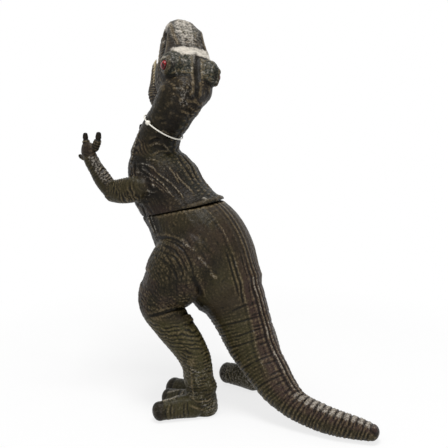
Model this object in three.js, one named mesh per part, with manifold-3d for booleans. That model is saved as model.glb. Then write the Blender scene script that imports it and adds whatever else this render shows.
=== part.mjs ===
// A standing tyrannosaur toy: soft vinyl skins stuffed with polyester fibre.
// Millimetres. X is the toy's left, Y its back, Z up; it faces -Y.
import * as THREE from "three";
import { mergeVertices } from "three/addons/utils/BufferGeometryUtils.js";
import Module from "manifold-3d";

const wasm = await Module();
wasm.setup();

// Walls, clearances, the pads that seat the flexing pieces at the ends of their axes, and cutters that reach
// past the toy
const SKIN_WALL = 2.5;
const HEAD_WALL = 4.5;
const SEAT_GAP = 0.3;
const FLEX_GAP = 1.1;
const PAD_RADIUS = 4;
const HEM_STEP = 1.6;
const COLLAR_HEIGHT = 12;
const AXIS_LENGTH = 200;
const BEYOND = 1000;

// Flexing of the soft limbs, in degrees each way
const NECK_FLEX = 10;
const ARM_FLEX = 15;
const ARM_PAD_INSIDE = 10;
const TAIL_FLEX = 12;

// Pivots: the middle of each soft joint
const NECK_PIVOT = [0, -134, 279];
const SHOULDER_PIVOT = [30, -122, 242.5];
const TAIL_PIVOT = [5, 18.5, 58];
const TAIL_AXIS = [0, 0.77, 0.638];

// Head: its place between the brows, how it is turned, and its mouth
const HEAD_AT = [-20, -92.2, 382.2];
const HEAD_TURN = -47.6;
const HEAD_PITCH = -41.6;
const HEAD_ROLL = -19.3;
const JAW_HINGE = [0, 20, -51];
const JAW_OPEN = 15.6;
const BROW_AT = [21.5, 3, -11.1];
const BROW_HALF = [12.5, 17, 13.5];
const EYE_AT = [32, 7.5, -9.8];
const EYE_HALF = [4.2, 5.4, 5.8];

// Teeth and tongue
const TOOTH_LENGTH = 7;
const TOOTH_RADIUS = 1.9;
const TEETH_A_SIDE = 5;
const GUM_RADIUS = 2.6;
const GUM_SET_IN = 4.5;
const GUM_BACK = 4;
const GUM_STEPS = 8;
const TONGUE_HALF = [10, 25, 4.5];
const TONGUE_FORWARD = 28;

// Tag loop of nylon line round the neck, with its lock bead
const LOOP_WIRE = 1.6;
const LOOP_STATION = 2.17;
const LOOP_TILT = 0.15;
const LOOP_STEPS = 28;
const LOOP_CLEARANCE = 0.6;
const BEAD_HALF = 2.9;
const BEAD_STEP = 27;

// Waist seam: a point on it and how far it falls towards the front
const WAIST_AT = [0, -90, 219];
const WAIST_TILT = 15;

// Each row of a form: [x, y, z, half width, half depth] from its start to its end
const TRUNK = [
  [0, -134.9, 278.3, 28.8, 27.3],
  [0, -131.3, 264.7, 34.7, 35.6],
  [0, -120.7, 243.9, 40.6, 41.8],
  [0, -103.6, 221.3, 42, 41.4],
  [0, -82.8, 197.9, 48.1, 47.7],
  [0, -65.1, 178.8, 51.5, 52.2],
  [0, -48.2, 155.4, 49.8, 50.1],
  [0, -33.5, 136.1, 44.1, 42.7],
];
const TAIL_BASE = [
  [0, -41.1, 145.2, 40.5, 40],
  [0, -24.2, 122.4, 36.5, 36.5],
  [0, -12.2, 100.8, 32.4, 32],
  [2, 3.1, 74.2, 29.1, 28.5],
  [6, 19.4, 54.2, 26.4, 25.5],
];
const TAIL_END = [
  [3.8, 15.6, 61.6, 23, 23.3],
  [8.7, 31.5, 45.7, 23, 23.3],
  [12.7, 45.6, 34.8, 20.7, 20.9],
  [15.7, 61.5, 25.6, 17.6, 17.4],
  [17.9, 76.9, 20.8, 15.8, 16],
  [16.1, 100.2, 15.8, 14.6, 16.1],
  [15.8, 121.6, 13.5, 14, 14.2],
  [10.3, 142.4, 11.8, 12.1, 12.1],
  [7.4, 156.5, 10.4, 10.3, 9.3],
];
const TAIL_STUFFED_ROWS = 6;
const TAIL_MOUTH = [
  [-2, 0, 73, 9, 9],
  [4, 14, 60, 11, 11],
];
const NECK = [
  [0.3, -134.7, 277.4, 25.1, 26.8],
  [-0.5, -130.1, 290, 25.6, 25.2],
  [-0.9, -123.6, 304.9, 24.8, 23.1],
  [-2.8, -112.3, 320.9, 26.1, 23.9],
  [-7.2, -104.3, 337.4, 28, 24.6],
  [-12.7, -96.9, 350.8, 26.9, 24.4],
];
const LEG = [
  [26.5, -52, 181, 26.8, 36.9],
  [38.5, -64.9, 162.6, 29.8, 38.6],
  [45.7, -76.5, 143.4, 29.4, 35.1],
  [51.7, -86.6, 120, 23.6, 27.6],
  [53.7, -70.4, 98, 20.2, 21.8],
  [54.1, -47.3, 77.1, 17.8, 20],
  [53.9, -36, 58.6, 16.1, 17.5],
  [53.9, -33, 41, 15.9, 17.4],
  [51.3, -30.4, 29.9, 15.8, 18.2],
];
const RIGHT_LEG_BACK = [-8, -2, 8, 14.5, 15.4, 15.4, 17.5, 20.9, 20];
const RIGHT_FOOT_BACK = 23;
const HEEL = [
  [53.1, -31.2, 27, 16.1, 17.1],
  [50.2, -32, 14.2, 16.2, 18.7],
  [48.2, -32.1, 6.4, 15.8, 18.4],
];
const TOES = [
  [
    [37.9, -42.5, 12.2, 12.6, 13.8],
    [37.4, -63.5, 12.8, 11.8, 13.2],
    [37, -80.4, 12.3, 11.6, 12.7],
  ],
  [
    [57.3, -40.4, 13.9, 12.1, 13.6],
    [58.4, -58.1, 11.6, 10.5, 12],
    [57.8, -72.3, 10.3, 9.2, 10.7],
  ],
  [
    [61.5, -33.8, 11.6, 12.9, 13.7],
    [78.7, -46.3, 11.9, 11.3, 12.3],
    [93.7, -57.6, 10.4, 9.4, 10.8],
  ],
];
const UPPER_ARM = [
  [26, -122, 242.5, 12.2, 12.6],
  [34.5, -123.6, 242.3, 12.6, 13.6],
  [40.4, -132.5, 240.8, 13, 15],
  [44.5, -146.9, 237.7, 12.6, 14.3],
  [45.4, -160.1, 236.4, 12, 12.7],
];
const FOREARM = [
  [47.4, -163.2, 239.6, 9.7, 10.2],
  [48.2, -173, 250.6, 9.8, 10.3],
  [49.1, -184, 264.6, 7.9, 8.4],
  [49, -189.5, 273.1, 7, 7.2],
];
const PALM = [
  [49, -188.4, 271, 6.4, 6.4],
  [50, -191.5, 279, 5.6, 8.4],
  [50.2, -190.4, 286, 4.4, 7.6],
];
const FINGERS = [
  [
    [50, -192.5, 283.4, 3.7, 3.7],
    [49.9, -194.9, 292.8, 3.5, 3.4],
    [50, -195.3, 299.1, 2.5, 2.5],
  ],
  [
    [47.4, -183.9, 283.2, 4, 4.1],
    [47.5, -178.4, 293.4, 3.8, 3.6],
    [47.8, -176.7, 300.9, 2.7, 2.8],
  ],
  [
    [50, -195, 274.7, 3.2, 3.2],
    [50, -200.8, 271.8, 2.8, 2.8],
    [50.1, -204.7, 274, 1.9, 1.7],
  ],
];

// Each row of a head form: [forward, half width, top, bottom], from back to front
const SKULL = [
  [-38.9, 18.9, -12.1, -52.4],
  [-25.7, 27.6, -4.2, -57.7],
  [-8.5, 32, -1.2, -56.9],
  [5.8, 33.5, 0, -50.7],
  [19.4, 30.1, -2, -47.3],
  [38.3, 26.9, -3.5, -45.9],
  [56.8, 24.2, -5, -43.7],
  [71.3, 19, -8.7, -39.8],
];
const JAW = [
  [-31.9, 20.5, -40.3, -64.7],
  [-18.1, 27.3, -50.4, -69],
  [6.3, 28.9, -53.4, -68.2],
  [34.5, 22.4, -53.2, -66],
  [58.4, 18, -51.7, -62.8],
  [71.1, 15, -52.8, -60.8],
];

const RADIAN = Math.PI / 180;
const LIMB_SIDES = 10;
const CORNER = 2.6;
const FLEX_POWER = 2.5;
const DOME_RINGS = [0.62];
const DOME_REACH = 0.8;

function row([x, y, z, side, deep]) {
  return { at: new THREE.Vector3(x, y, z), side, deep };
}

function headRow([forward, side, top, bottom]) {
  return { at: new THREE.Vector3(0, -forward, (top + bottom) / 2), side, deep: (top - bottom) / 2 };
}

function mirrored(rows) {
  return rows.map(([x, ...rest]) => [-x, ...rest]);
}

function tangents(stations) {
  const last = stations.length - 1;
  return stations.map((s, i) =>
    stations[Math.min(i + 1, last)].at.clone().sub(stations[Math.max(i - 1, 0)].at).normalize());
}

// A swelling, tapering form: superellipse rings along a curved axis, with a domed end each way
function formGeometry(stations, { inset = 0, sides = 12, power = 2, across = [1, 0, 0] } = {}) {
  const along = tangents(stations);
  const rings = [];
  const dome = (s, t, sign) =>
    DOME_RINGS.map((share) => {
      const reach = share * DOME_REACH * (Math.min(s.side, s.deep) - inset) * sign;
      const shrink = Math.sqrt(1 - share * share);
      const centre = s.at.clone().addScaledVector(t, reach);
      return [centre, t, (s.side - inset) * shrink, (s.deep - inset) * shrink];
    });
  const first = stations[0];
  const final = stations.at(-1);
  rings.push(...dome(first, along[0], -1).reverse());
  stations.forEach((s, i) => rings.push([s.at, along[i], s.side - inset, s.deep - inset]));
  rings.push(...dome(final, along.at(-1), 1));
  const points = [];
  for (const [centre, t, side, deep] of rings) {
    const x = new THREE.Vector3(...across);
    x.addScaledVector(t, -x.dot(t)).normalize();
    const y = t.clone().cross(x);
    for (let k = 0; k < sides; k++) {
      const angle = (2 * Math.PI * k) / sides;
      const c = Math.cos(angle);
      const s = Math.sin(angle);
      const p = centre.clone();
      p.addScaledVector(x, side * Math.sign(c) * Math.abs(c) ** (2 / power));
      p.addScaledVector(y, deep * Math.sign(s) * Math.abs(s) ** (2 / power));
      points.push(p);
    }
  }
  const tip = (s, t, sign) =>
    s.at.clone().addScaledVector(t, sign * DOME_REACH * (Math.min(s.side, s.deep) - inset));
  points.push(tip(first, along[0], -1), tip(final, along.at(-1), 1));
  const index = [];
  for (let r = 0; r + 1 < rings.length; r++)
    for (let k = 0; k < sides; k++) {
      const a = r * sides + k;
      const b = r * sides + ((k + 1) % sides);
      index.push(a, b, b + sides, a, b + sides, a + sides);
    }
  const start = points.length - 2;
  const end = points.length - 1;
  const top = (rings.length - 1) * sides;
  for (let k = 0; k < sides; k++) {
    const next = (k + 1) % sides;
    index.push(start, next, k, end, top + k, top + next);
  }
  return new THREE.BufferGeometry().setFromPoints(points).setIndex(index);
}

function solidOf(geometry) {
  const bare = geometry.clone();
  bare.deleteAttribute("normal");
  bare.deleteAttribute("uv");
  const merged = mergeVertices(bare, 1e-4);
  const solid = new wasm.Manifold(new wasm.Mesh({
    numProp: 3,
    vertProperties: new Float32Array(merged.attributes.position.array),
    triVerts: new Uint32Array(merged.index.array),
  }));
  return solid;
}

function form(rows, options = {}) {
  return solidOf(formGeometry(rows.map(options.head ? headRow : row), options));
}

function joined(...solids) {
  return solids.reduce((all, one) => all.add(one));
}

function cut(solid, ...cutters) {
  return cutters.reduce((rest, one) => rest.subtract(one), solid);
}

function ellipsoid(at, half, segments = 10) {
  const geometry = new THREE.SphereGeometry(1, segments, segments / 2 + 2);
  geometry.scale(...half).translate(...at);
  return geometry;
}

function turned(geometry, pivot, axis, degrees) {
  const spin = new THREE.Matrix4().makeRotationAxis(new THREE.Vector3(...axis), degrees * RADIAN);
  return geometry.clone().translate(...pivot.map((v) => -v)).applyMatrix4(spin).translate(...pivot);
}

// The room that a flexing piece needs: its form, widened and sunk by its swing on each side of the pivot
function flexRoom(rows, pivot, range, wide, options = {}) {
  const centre = new THREE.Vector3(...pivot);
  const swing = Math.sin(range * RADIAN);
  const stations = rows.map(row);
  const [first] = stations;
  const dome = DOME_REACH * Math.min(first.side, first.deep);
  const widened = stations.map((s, i) => {
    const reach = s.at.distanceTo(centre) + (i === 0 ? dome : 0);
    return { ...s, [wide]: s[wide] + reach * swing };
  });
  const sunk = first.at.clone().addScaledVector(tangents(stations)[0], -swing * first[wide]);
  widened.unshift({ ...widened[0], at: sunk });
  return solidOf(formGeometry(widened, { ...options, inset: -FLEX_GAP, power: FLEX_POWER }));
}

// A rod along a soft joint's axis; its ends make the pads that reach to the flexing piece
function axisRod(pivot, axis, radius) {
  const rod = new THREE.CylinderGeometry(radius, radius, AXIS_LENGTH, 8);
  const turn = new THREE.Quaternion().setFromUnitVectors(
    new THREE.Vector3(0, 1, 0), new THREE.Vector3(...axis).normalize());
  return solidOf(rod.applyQuaternion(turn).translate(...pivot));
}

// A skin of even wall and the filling that fits inside it
function stuffed(rows, options = {}) {
  const outer = form(rows, options);
  const skin = outer.subtract(form(rows, { ...options, inset: SKIN_WALL }));
  const filling = form(rows, { ...options, inset: SKIN_WALL + SEAT_GAP });
  return { outer, skin, filling };
}

// The space above or below a plane that is raised off a point and falls by a tilt towards the front
function halfSpace(at, tilt, above, raised = 0) {
  const box = new THREE.BoxGeometry(BEYOND, BEYOND, BEYOND);
  box.translate(0, 0, raised + (above ? BEYOND : -BEYOND) / 2);
  box.applyMatrix4(new THREE.Matrix4().makeRotationX(tilt * RADIAN)).translate(...at);
  return solidOf(box);
}

// The space on one side of a plane across X
function sideOf(sign, x) {
  return solidOf(new THREE.BoxGeometry(BEYOND, BEYOND, BEYOND).translate(sign * (x - BEYOND / 2), 0, 0));
}

const belowFloor = halfSpace([0, 0, 0], 0, false);

const headMatrix = new THREE.Matrix4()
  .makeTranslation(...HEAD_AT)
  .multiply(new THREE.Matrix4().makeRotationZ(HEAD_TURN * RADIAN))
  .multiply(new THREE.Matrix4().makeRotationX(HEAD_PITCH * RADIAN))
  .multiply(new THREE.Matrix4().makeRotationY(HEAD_ROLL * RADIAN));

function inHead(geometry) {
  return solidOf(geometry.clone().applyMatrix4(headMatrix));
}

function dropped(geometry) {
  return turned(geometry, JAW_HINGE, [1, 0, 0], JAW_OPEN);
}

// Half width of a head form at a distance forward, and the height of its top or bottom at one side
function headEdge(rows, forward, side, points) {
  const i = Math.max(1, rows.findIndex(([at]) => at >= forward));
  const share = (forward - rows[i - 1][0]) / (rows[i][0] - rows[i - 1][0]);
  const [half, top, bottom] = [1, 2, 3].map((k) => rows[i - 1][k] + share * (rows[i][k] - rows[i - 1][k]));
  const across = Math.min(1, Math.abs(side(half)) / half);
  const curve = (1 - across ** CORNER) ** (1 / CORNER);
  return { side: side(half), height: (top + bottom) / 2 + (points * curve * (top - bottom)) / 2 };
}

// A horseshoe gum with its teeth, on the underside of the upper jaw or the top of the lower jaw
function teethGeometry(rows, points) {
  const front = rows.at(-1)[0];
  const place = (share) => {
    const angle = (share - 0.5) * Math.PI;
    const forward = GUM_BACK + (front - GUM_BACK) * Math.cos(angle) ** 0.6;
    const bow = Math.sign(angle) * Math.abs(Math.sin(angle)) ** 0.45;
    const { side, height } = headEdge(rows, forward, (half) => (half - GUM_SET_IN) * bow, points);
    return new THREE.Vector3(side, -forward, height);
  };
  const spine = Array.from({ length: GUM_STEPS + 1 }, (_, i) => place(0.04 + (0.92 * i) / GUM_STEPS));
  const gum = new THREE.ExtrudeGeometry(
    new THREE.Shape(circlePoints(GUM_RADIUS, 4)),
    { steps: GUM_STEPS, bevelEnabled: false, extrudePath: new THREE.CatmullRomCurve3(spine) });
  const teeth = Array.from({ length: 2 * TEETH_A_SIDE }, (_, i) => {
    const tooth = new THREE.ConeGeometry(TOOTH_RADIUS, TOOTH_LENGTH, 4);
    tooth.rotateX((points * Math.PI) / 2);
    tooth.translate(0, 0, (points * TOOTH_LENGTH) / 2);
    const at = place(0.06 + (0.88 * (i + 0.5)) / (2 * TEETH_A_SIDE));
    return tooth.translate(at.x, at.y, at.z);
  });
  return [gum, ...teeth];
}

function circlePoints(radius, sides) {
  return Array.from({ length: sides }, (_, i) => {
    const angle = (2 * Math.PI * i) / sides;
    return new THREE.Vector2(radius * Math.cos(angle), radius * Math.sin(angle));
  });
}

// Point on a form's surface, raised off it: station counts rows, angle goes round the axis
function surfacePoint(rows, station, angle, raised) {
  const stations = rows.map(row);
  const along = tangents(stations);
  const i = Math.floor(station);
  const share = station - i;
  const [a, b] = [stations[i], stations[i + 1]];
  const t = along[i].clone().lerp(along[i + 1], share).normalize();
  const x = new THREE.Vector3(1, 0, 0);
  x.addScaledVector(t, -x.dot(t)).normalize();
  const y = t.clone().cross(x);
  const side = a.side + share * (b.side - a.side) + raised;
  const deep = a.deep + share * (b.deep - a.deep) + raised;
  return a.at.clone().lerp(b.at, share)
    .addScaledVector(x, side * Math.cos(angle))
    .addScaledVector(y, deep * Math.sin(angle));
}

// A closed ring of round section through the given points
function ringGeometry(points, radius, sides = 6) {
  const vertices = [];
  const index = [];
  const count = points.length;
  const centre = points.reduce((sum, p) => sum.add(p), new THREE.Vector3()).divideScalar(count);
  points.forEach((p, i) => {
    const t = points[(i + 1) % count].clone().sub(points[(i + count - 1) % count]).normalize();
    const out = p.clone().sub(centre);
    out.addScaledVector(t, -out.dot(t)).normalize();
    const up = t.clone().cross(out);
    for (let k = 0; k < sides; k++) {
      const angle = (2 * Math.PI * k) / sides;
      vertices.push(p.clone()
        .addScaledVector(out, radius * Math.cos(angle))
        .addScaledVector(up, radius * Math.sin(angle)));
      const a = i * sides + k;
      const b = i * sides + ((k + 1) % sides);
      const c = ((i + 1) % count) * sides + ((k + 1) % sides);
      const d = ((i + 1) % count) * sides + k;
      index.push(a, b, c, a, c, d);
    }
  });
  return new THREE.BufferGeometry().setFromPoints(vertices).setIndex(index);
}

const MATERIALS = {
  skin: { color: 0x352e22, roughness: 0.42, metalness: 0 },
  filling: { color: 0xece9e0, roughness: 1, metalness: 0 },
  tooth: { color: 0xd8cfb4, roughness: 0.4, metalness: 0 },
  mouth: { color: 0x7c2f2a, roughness: 0.45, metalness: 0 },
  eye: { color: 0xa01818, roughness: 0.12, metalness: 0 },
  nylon: { color: 0xe8e6dc, roughness: 0.35, metalness: 0 },
};

const group = new THREE.Group();

function add(name, solid, material) {
  const mesh = solid.getMesh();
  const geometry = new THREE.BufferGeometry();
  geometry.setAttribute("position", new THREE.BufferAttribute(new Float32Array(mesh.vertProperties), 3));
  geometry.setIndex(new THREE.BufferAttribute(new Uint32Array(mesh.triVerts), 1));
  geometry.computeVertexNormals();
  const piece = new THREE.Mesh(geometry, new THREE.MeshStandardMaterial(MATERIALS[material]));
  piece.name = name;
  group.add(piece);
}

const SIDES = [
  { name: "left", place: (rows) => rows, sign: 1 },
  { name: "right", place: mirrored, sign: -1 },
];

// Chest and hips: one continuous form, parted at the waist, where the hips' collar goes up inside
function addTrunk() {
  const waist = (above, raised) => halfSpace(WAIST_AT, WAIST_TILT, above, raised);
  const sockets = [
    flexRoom(NECK, NECK_PIVOT, NECK_FLEX, "deep"),
    ...SIDES.map(({ place, sign }) =>
      flexRoom(place(UPPER_ARM), armPivot(sign), ARM_FLEX, "deep", { sides: LIMB_SIDES })),
  ];
  const at = (inset) => form(TRUNK, { inset });
  const neckPads = cut(
    axisRod(NECK_PIVOT, [1, 0, 0], PAD_RADIUS).intersect(at(0)), form(NECK, { inset: -SEAT_GAP }));
  const neckPadRoom = axisRod(NECK_PIVOT, [1, 0, 0], PAD_RADIUS + SEAT_GAP);
  const armPads = SIDES.map(({ place, sign }) => cut(
    axisRod(armPivot(sign), [1, 0, 0], PAD_RADIUS).intersect(at(SKIN_WALL + SEAT_GAP)),
    form(place(UPPER_ARM), { inset: -SEAT_GAP, sides: LIMB_SIDES }),
    sideOf(sign, ARM_PAD_INSIDE)));
  const skinInside = at(SKIN_WALL);
  const collarInside = at(2 * SKIN_WALL + SEAT_GAP);
  const hips = joined(
    cut(at(0), waist(true, 0)),
    cut(at(SKIN_WALL + SEAT_GAP), waist(true, COLLAR_HEIGHT)));
  const hipFilling = joined(
    cut(at(SKIN_WALL + SEAT_GAP), waist(true, -SKIN_WALL - SEAT_GAP)),
    cut(at(2 * SKIN_WALL + 2 * SEAT_GAP), waist(true, COLLAR_HEIGHT)));
  const chestFilling = cut(at(SKIN_WALL + SEAT_GAP), waist(false, COLLAR_HEIGHT + SEAT_GAP));
  const chestSkin = cut(at(-HEM_STEP), skinInside, waist(false, SEAT_GAP), ...sockets);
  add("chest_skin", joined(chestSkin, neckPads), "skin");
  add("chest_filling", joined(cut(chestFilling, neckPadRoom, ...sockets), ...armPads), "filling");
  add("hip_skin", cut(hips, cut(skinInside, waist(true, -SKIN_WALL)), collarInside), "skin");
  add("hip_filling", hipFilling, "filling");
  return { room: at(-SEAT_GAP) };
}

function armPivot(sign) {
  return [sign * SHOULDER_PIVOT[0], SHOULDER_PIVOT[1], SHOULDER_PIVOT[2]];
}

function addTail(trunk) {
  const base = stuffed(TAIL_BASE);
  const pads = cut(
    axisRod(TAIL_PIVOT, TAIL_AXIS, PAD_RADIUS).intersect(base.outer),
    form(TAIL_END, { inset: -SEAT_GAP }));
  const padRoom = axisRod(TAIL_PIVOT, TAIL_AXIS, PAD_RADIUS + SEAT_GAP);
  const room = flexRoom(TAIL_END, TAIL_PIVOT, TAIL_FLEX, "side");
  add("tail_base_skin", joined(cut(base.skin, trunk.room, room), pads), "skin");
  add("tail_base_filling", cut(base.filling, trunk.room, room, padRoom), "filling");
  const stuffedRows = TAIL_END.slice(0, TAIL_STUFFED_ROWS);
  const hollow = form(stuffedRows, { inset: SKIN_WALL });
  const filling = form(stuffedRows, { inset: SKIN_WALL + SEAT_GAP });
  add("tail_end_skin", cut(form(TAIL_END), belowFloor, hollow, form(TAIL_MOUTH)), "skin");
  add("tail_end_filling", filling, "filling");
}

function addLegs(trunk) {
  for (const { name, place, sign } of SIDES) {
    const back = (rows, offset) => place(rows).map(([x, y, ...rest], i) => [x, y + offset(i), ...rest]);
    const legBack = (i) => (sign < 0 ? RIGHT_LEG_BACK[i] : 0);
    const footBack = () => (sign < 0 ? RIGHT_FOOT_BACK : 0);
    const leg = stuffed(back(LEG, legBack));
    const footForm = (inset) => joined(
      form(back(HEEL, footBack), { sides: LIMB_SIDES, inset }),
      ...TOES.map((toe) => form(back(toe, footBack), { sides: 8, inset })));
    const footRoom = footForm(-SEAT_GAP);
    add(name + "_leg_skin", cut(leg.skin, footRoom, trunk.room), "skin");
    add(name + "_leg_filling", cut(leg.filling, footRoom, trunk.room), "filling");
    add(name + "_foot", cut(footForm(0), belowFloor), "skin");
  }
}

function addArms() {
  for (const { name, place } of SIDES) {
    const upper = form(place(UPPER_ARM), { sides: LIMB_SIDES });
    const upperRoom = form(place(UPPER_ARM), { sides: LIMB_SIDES, inset: -SEAT_GAP });
    const fore = form(place(FOREARM), { sides: LIMB_SIDES });
    const foreRoom = form(place(FOREARM), { sides: LIMB_SIDES, inset: -SEAT_GAP });
    const hand = joined(
      form(place(PALM), { sides: 8 }),
      ...FINGERS.map((finger) => form(place(finger), { sides: 6 })));
    add(name + "_upper_arm", upper, "skin");
    add(name + "_forearm", cut(fore, upperRoom), "skin");
    add(name + "_hand", cut(hand, foreRoom), "skin");
  }
}

function addNeckAndHead() {
  const neck = stuffed(NECK);
  const skullForm = (inset) => formGeometry(SKULL.map(headRow), { inset, power: CORNER });
  const jawForm = (inset) => dropped(formGeometry(JAW.map(headRow), { inset, power: CORNER }));
  const mirrorX = ([x, y, z], sign) => [sign * x, y, z];
  const brow = (inset) => SIDES.map(({ sign }) =>
    inHead(ellipsoid(mirrorX(BROW_AT, sign), BROW_HALF.map((h) => h - inset))));
  const eye = (sign, inset) => inHead(ellipsoid(mirrorX(EYE_AT, sign), EYE_HALF.map((h) => h - inset)));
  const skull = joined(inHead(skullForm(0)), ...brow(0));
  const skullRoom = joined(inHead(skullForm(-SEAT_GAP)), ...brow(-SEAT_GAP));
  const hollow = inHead(skullForm(HEAD_WALL));
  const neckRoom = form(NECK, { inset: -SEAT_GAP });
  const sockets = SIDES.map(({ sign }) => eye(sign, -SEAT_GAP));
  add("neck_skin", cut(neck.skin, skullRoom), "skin");
  add("neck_filling", cut(neck.filling, skullRoom), "filling");
  add("head_skin", cut(skull, hollow, form(NECK, { inset: SKIN_WALL }), ...sockets), "skin");
  add("head_filling", inHead(skullForm(HEAD_WALL + SEAT_GAP)), "filling");
  add("lower_jaw", cut(inHead(jawForm(0)), skullRoom, neckRoom), "skin");
  for (const { name, sign } of SIDES) add(name + "_eye", eye(sign, 0), "eye");
  const jawRoom = inHead(jawForm(-SEAT_GAP));
  const upperTeeth = joined(...teethGeometry(SKULL, -1).map(inHead));
  add("upper_teeth", cut(upperTeeth, skullRoom), "tooth");
  const lowerTeeth = joined(...teethGeometry(JAW, 1).map((g) => inHead(dropped(g))));
  const tongueAt = [0, -TONGUE_FORWARD, headEdge(JAW, TONGUE_FORWARD, () => 0, 1).height];
  add("lower_teeth", cut(lowerTeeth, jawRoom), "tooth");
  add("tongue", cut(inHead(dropped(ellipsoid(tongueAt, TONGUE_HALF))), jawRoom), "mouth");
}

function addTagLoop() {
  const radius = LOOP_WIRE / 2;
  const points = Array.from({ length: LOOP_STEPS }, (_, i) => {
    const angle = (2 * Math.PI * i) / LOOP_STEPS;
    const station = LOOP_STATION + LOOP_TILT * Math.cos(angle);
    return surfacePoint(NECK, station, angle, radius + LOOP_CLEARANCE);
  });
  const loop = solidOf(ringGeometry(points, radius));
  const loopRoom = solidOf(ringGeometry(points, radius + SEAT_GAP));
  const neckRoom = form(NECK, { inset: -SEAT_GAP });
  const bead = solidOf(ellipsoid(points[BEAD_STEP].toArray(), [BEAD_HALF, BEAD_HALF, BEAD_HALF]));
  add("tag_loop", loop, "nylon");
  add("tag_bead", cut(bead, loopRoom, neckRoom), "nylon");
}

const trunk = addTrunk();
addTail(trunk);
addLegs(trunk);
addArms();
addNeckAndHead();
addTagLoop();

// Origin on the floor, under the middle of the toy's box
const box = new THREE.Box3().setFromObject(group);
group.position.set(-(box.min.x + box.max.x) / 2, -(box.min.y + box.max.y) / 2, -box.min.z);

export default group;
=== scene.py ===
"""A standing tyrannosaur toy of soft stuffed vinyl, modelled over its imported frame."""

import logging
import math
from dataclasses import dataclass, field
from enum import Enum
from typing import Callable, Sequence

import bmesh
import bpy
import numpy as np
from mathutils import Matrix, Vector


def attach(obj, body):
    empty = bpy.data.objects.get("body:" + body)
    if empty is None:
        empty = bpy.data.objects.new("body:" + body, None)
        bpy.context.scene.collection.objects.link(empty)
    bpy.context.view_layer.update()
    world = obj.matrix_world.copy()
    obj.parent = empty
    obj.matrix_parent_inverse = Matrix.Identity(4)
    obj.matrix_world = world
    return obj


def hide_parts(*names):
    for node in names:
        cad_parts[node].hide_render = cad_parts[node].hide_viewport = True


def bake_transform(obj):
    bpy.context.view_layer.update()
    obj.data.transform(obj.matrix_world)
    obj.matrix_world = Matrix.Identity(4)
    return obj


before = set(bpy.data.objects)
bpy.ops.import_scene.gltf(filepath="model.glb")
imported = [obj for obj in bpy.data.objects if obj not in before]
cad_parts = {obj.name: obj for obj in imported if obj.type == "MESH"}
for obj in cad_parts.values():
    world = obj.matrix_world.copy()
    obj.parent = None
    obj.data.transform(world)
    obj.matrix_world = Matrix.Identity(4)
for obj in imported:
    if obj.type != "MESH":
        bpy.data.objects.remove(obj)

log = logging.getLogger("dinosaur")
logging.basicConfig(level=logging.INFO, format="%(message)s")

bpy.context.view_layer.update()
MM = 0.001
# The tables are in millimetres from a point on the floor below the hips, this far ahead of the box's middle.
SHIFT = np.array([0.0, 21.13, 0.0])
VOXEL = 1.1  # mm between the points of a finished skin

Row = tuple[float, float, float, float, float]  # x, y, z of an axis, half width and half depth, in mm
Points = np.ndarray
Socket = bpy.types.NodeSocket
NOISE_ROUGHNESS = 0.6
SHARP_DEGREES = 60.0


class Body(str, Enum):
    """The bodies that move, by their names in the frame."""

    TRUNK = "trunk"
    NECK = "neck"
    LEFT_ARM = "left_arm"
    RIGHT_ARM = "right_arm"
    TAIL = "tail"


class Tint(str, Enum):
    """What a skin can be tinted with, by its attribute's name."""

    MAUVE = "mauve"
    MOSS = "moss"
    OLIVE = "olive"
    # Pale paint, and painted highlight where the toy would catch light.
    PALE_AND_HIGHLIGHT = "pale_and_highlight"
    GUM = "gum"
    # Darker paint, and painted shade in grooves, under the hem and on the undersides.
    DARK = "dark"


# Small maths
def linear(code: str) -> tuple[float, float, float, float]:
    """Turn an sRGB hex colour into the linear colour a shader takes.

    Args:
        code: The colour as "#RRGGBB".

    Returns:
        Red, green, blue and an alpha of 1.
    """
    parts = [int(code[i:i + 2], 16) / 255 for i in (1, 3, 5)]
    return (*[c / 12.92 if c <= 0.04045 else ((c + 0.055) / 1.055) ** 2.4 for c in parts], 1.0)


def turn_matrix(x: float = 0.0, y: float = 0.0, z: float = 0.0) -> Points:
    """Return the 3 by 3 turn about Z after X after Y, in degrees."""
    rx, ry, rz = (Matrix.Rotation(math.radians(a), 3, axis) for a, axis in ((x, "X"), (y, "Y"), (z, "Z")))
    return np.array(rz @ rx @ ry)


def mirror(rows: Sequence[Row], back: Sequence[float] | float = 0.0) -> list[Row]:
    """Mirror rows to the toy's right side and move them back.

    Args:
        rows: Rows of the left side.
        back: How far each row stands further back, in mm.

    Returns:
        The rows of the right side.
    """
    shift = back if isinstance(back, (list, tuple)) else [back] * len(rows)
    return [(-x, y + b, z, side, deep) for (x, y, z, side, deep), b in zip(rows, shift)]


def to_left(points: Points) -> Points:
    """Fold points over to the toy's left side."""
    return np.abs(points) * [1, 0, 0] + points * [0, 1, 1]


def scatter(cell: Points, seed: int) -> Points:
    """Scatter numbers over a grid, always the same for the same cell.

    Args:
        cell: Each point's cell, in whole numbers.
        seed: Which scatter it is.

    Returns:
        A number from 0 to 1 for each point.
    """
    h = (cell[:, 0] * 73856093) ^ (cell[:, 1] * 19349663) ^ (cell[:, 2] * 83492791) ^ (seed * 2654435761)
    h = (h ^ (h >> 13)) * 1274126177
    return ((h ^ (h >> 16)) % 65536) / 65536


def lumps(points: Points, size: float, seed: int) -> Points:
    """Smooth random field from -1 to 1.

    Args:
        points: N by 3 places in mm.
        size: Size of a lump in mm.
        seed: Which field.

    Returns:
        N values.
    """
    p = points / size
    base = np.floor(p).astype(np.int64)
    f = p - base
    f = f * f * f * (f * (f * 6 - 15) + 10)
    total = np.zeros(len(p))
    for corner in range(8):
        off = np.array([corner & 1, corner >> 1 & 1, corner >> 2 & 1])
        total += np.prod(np.where(off == 1, f, 1 - f), axis=1) * (scatter(base + off, seed) * 2 - 1)
    return total


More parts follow.
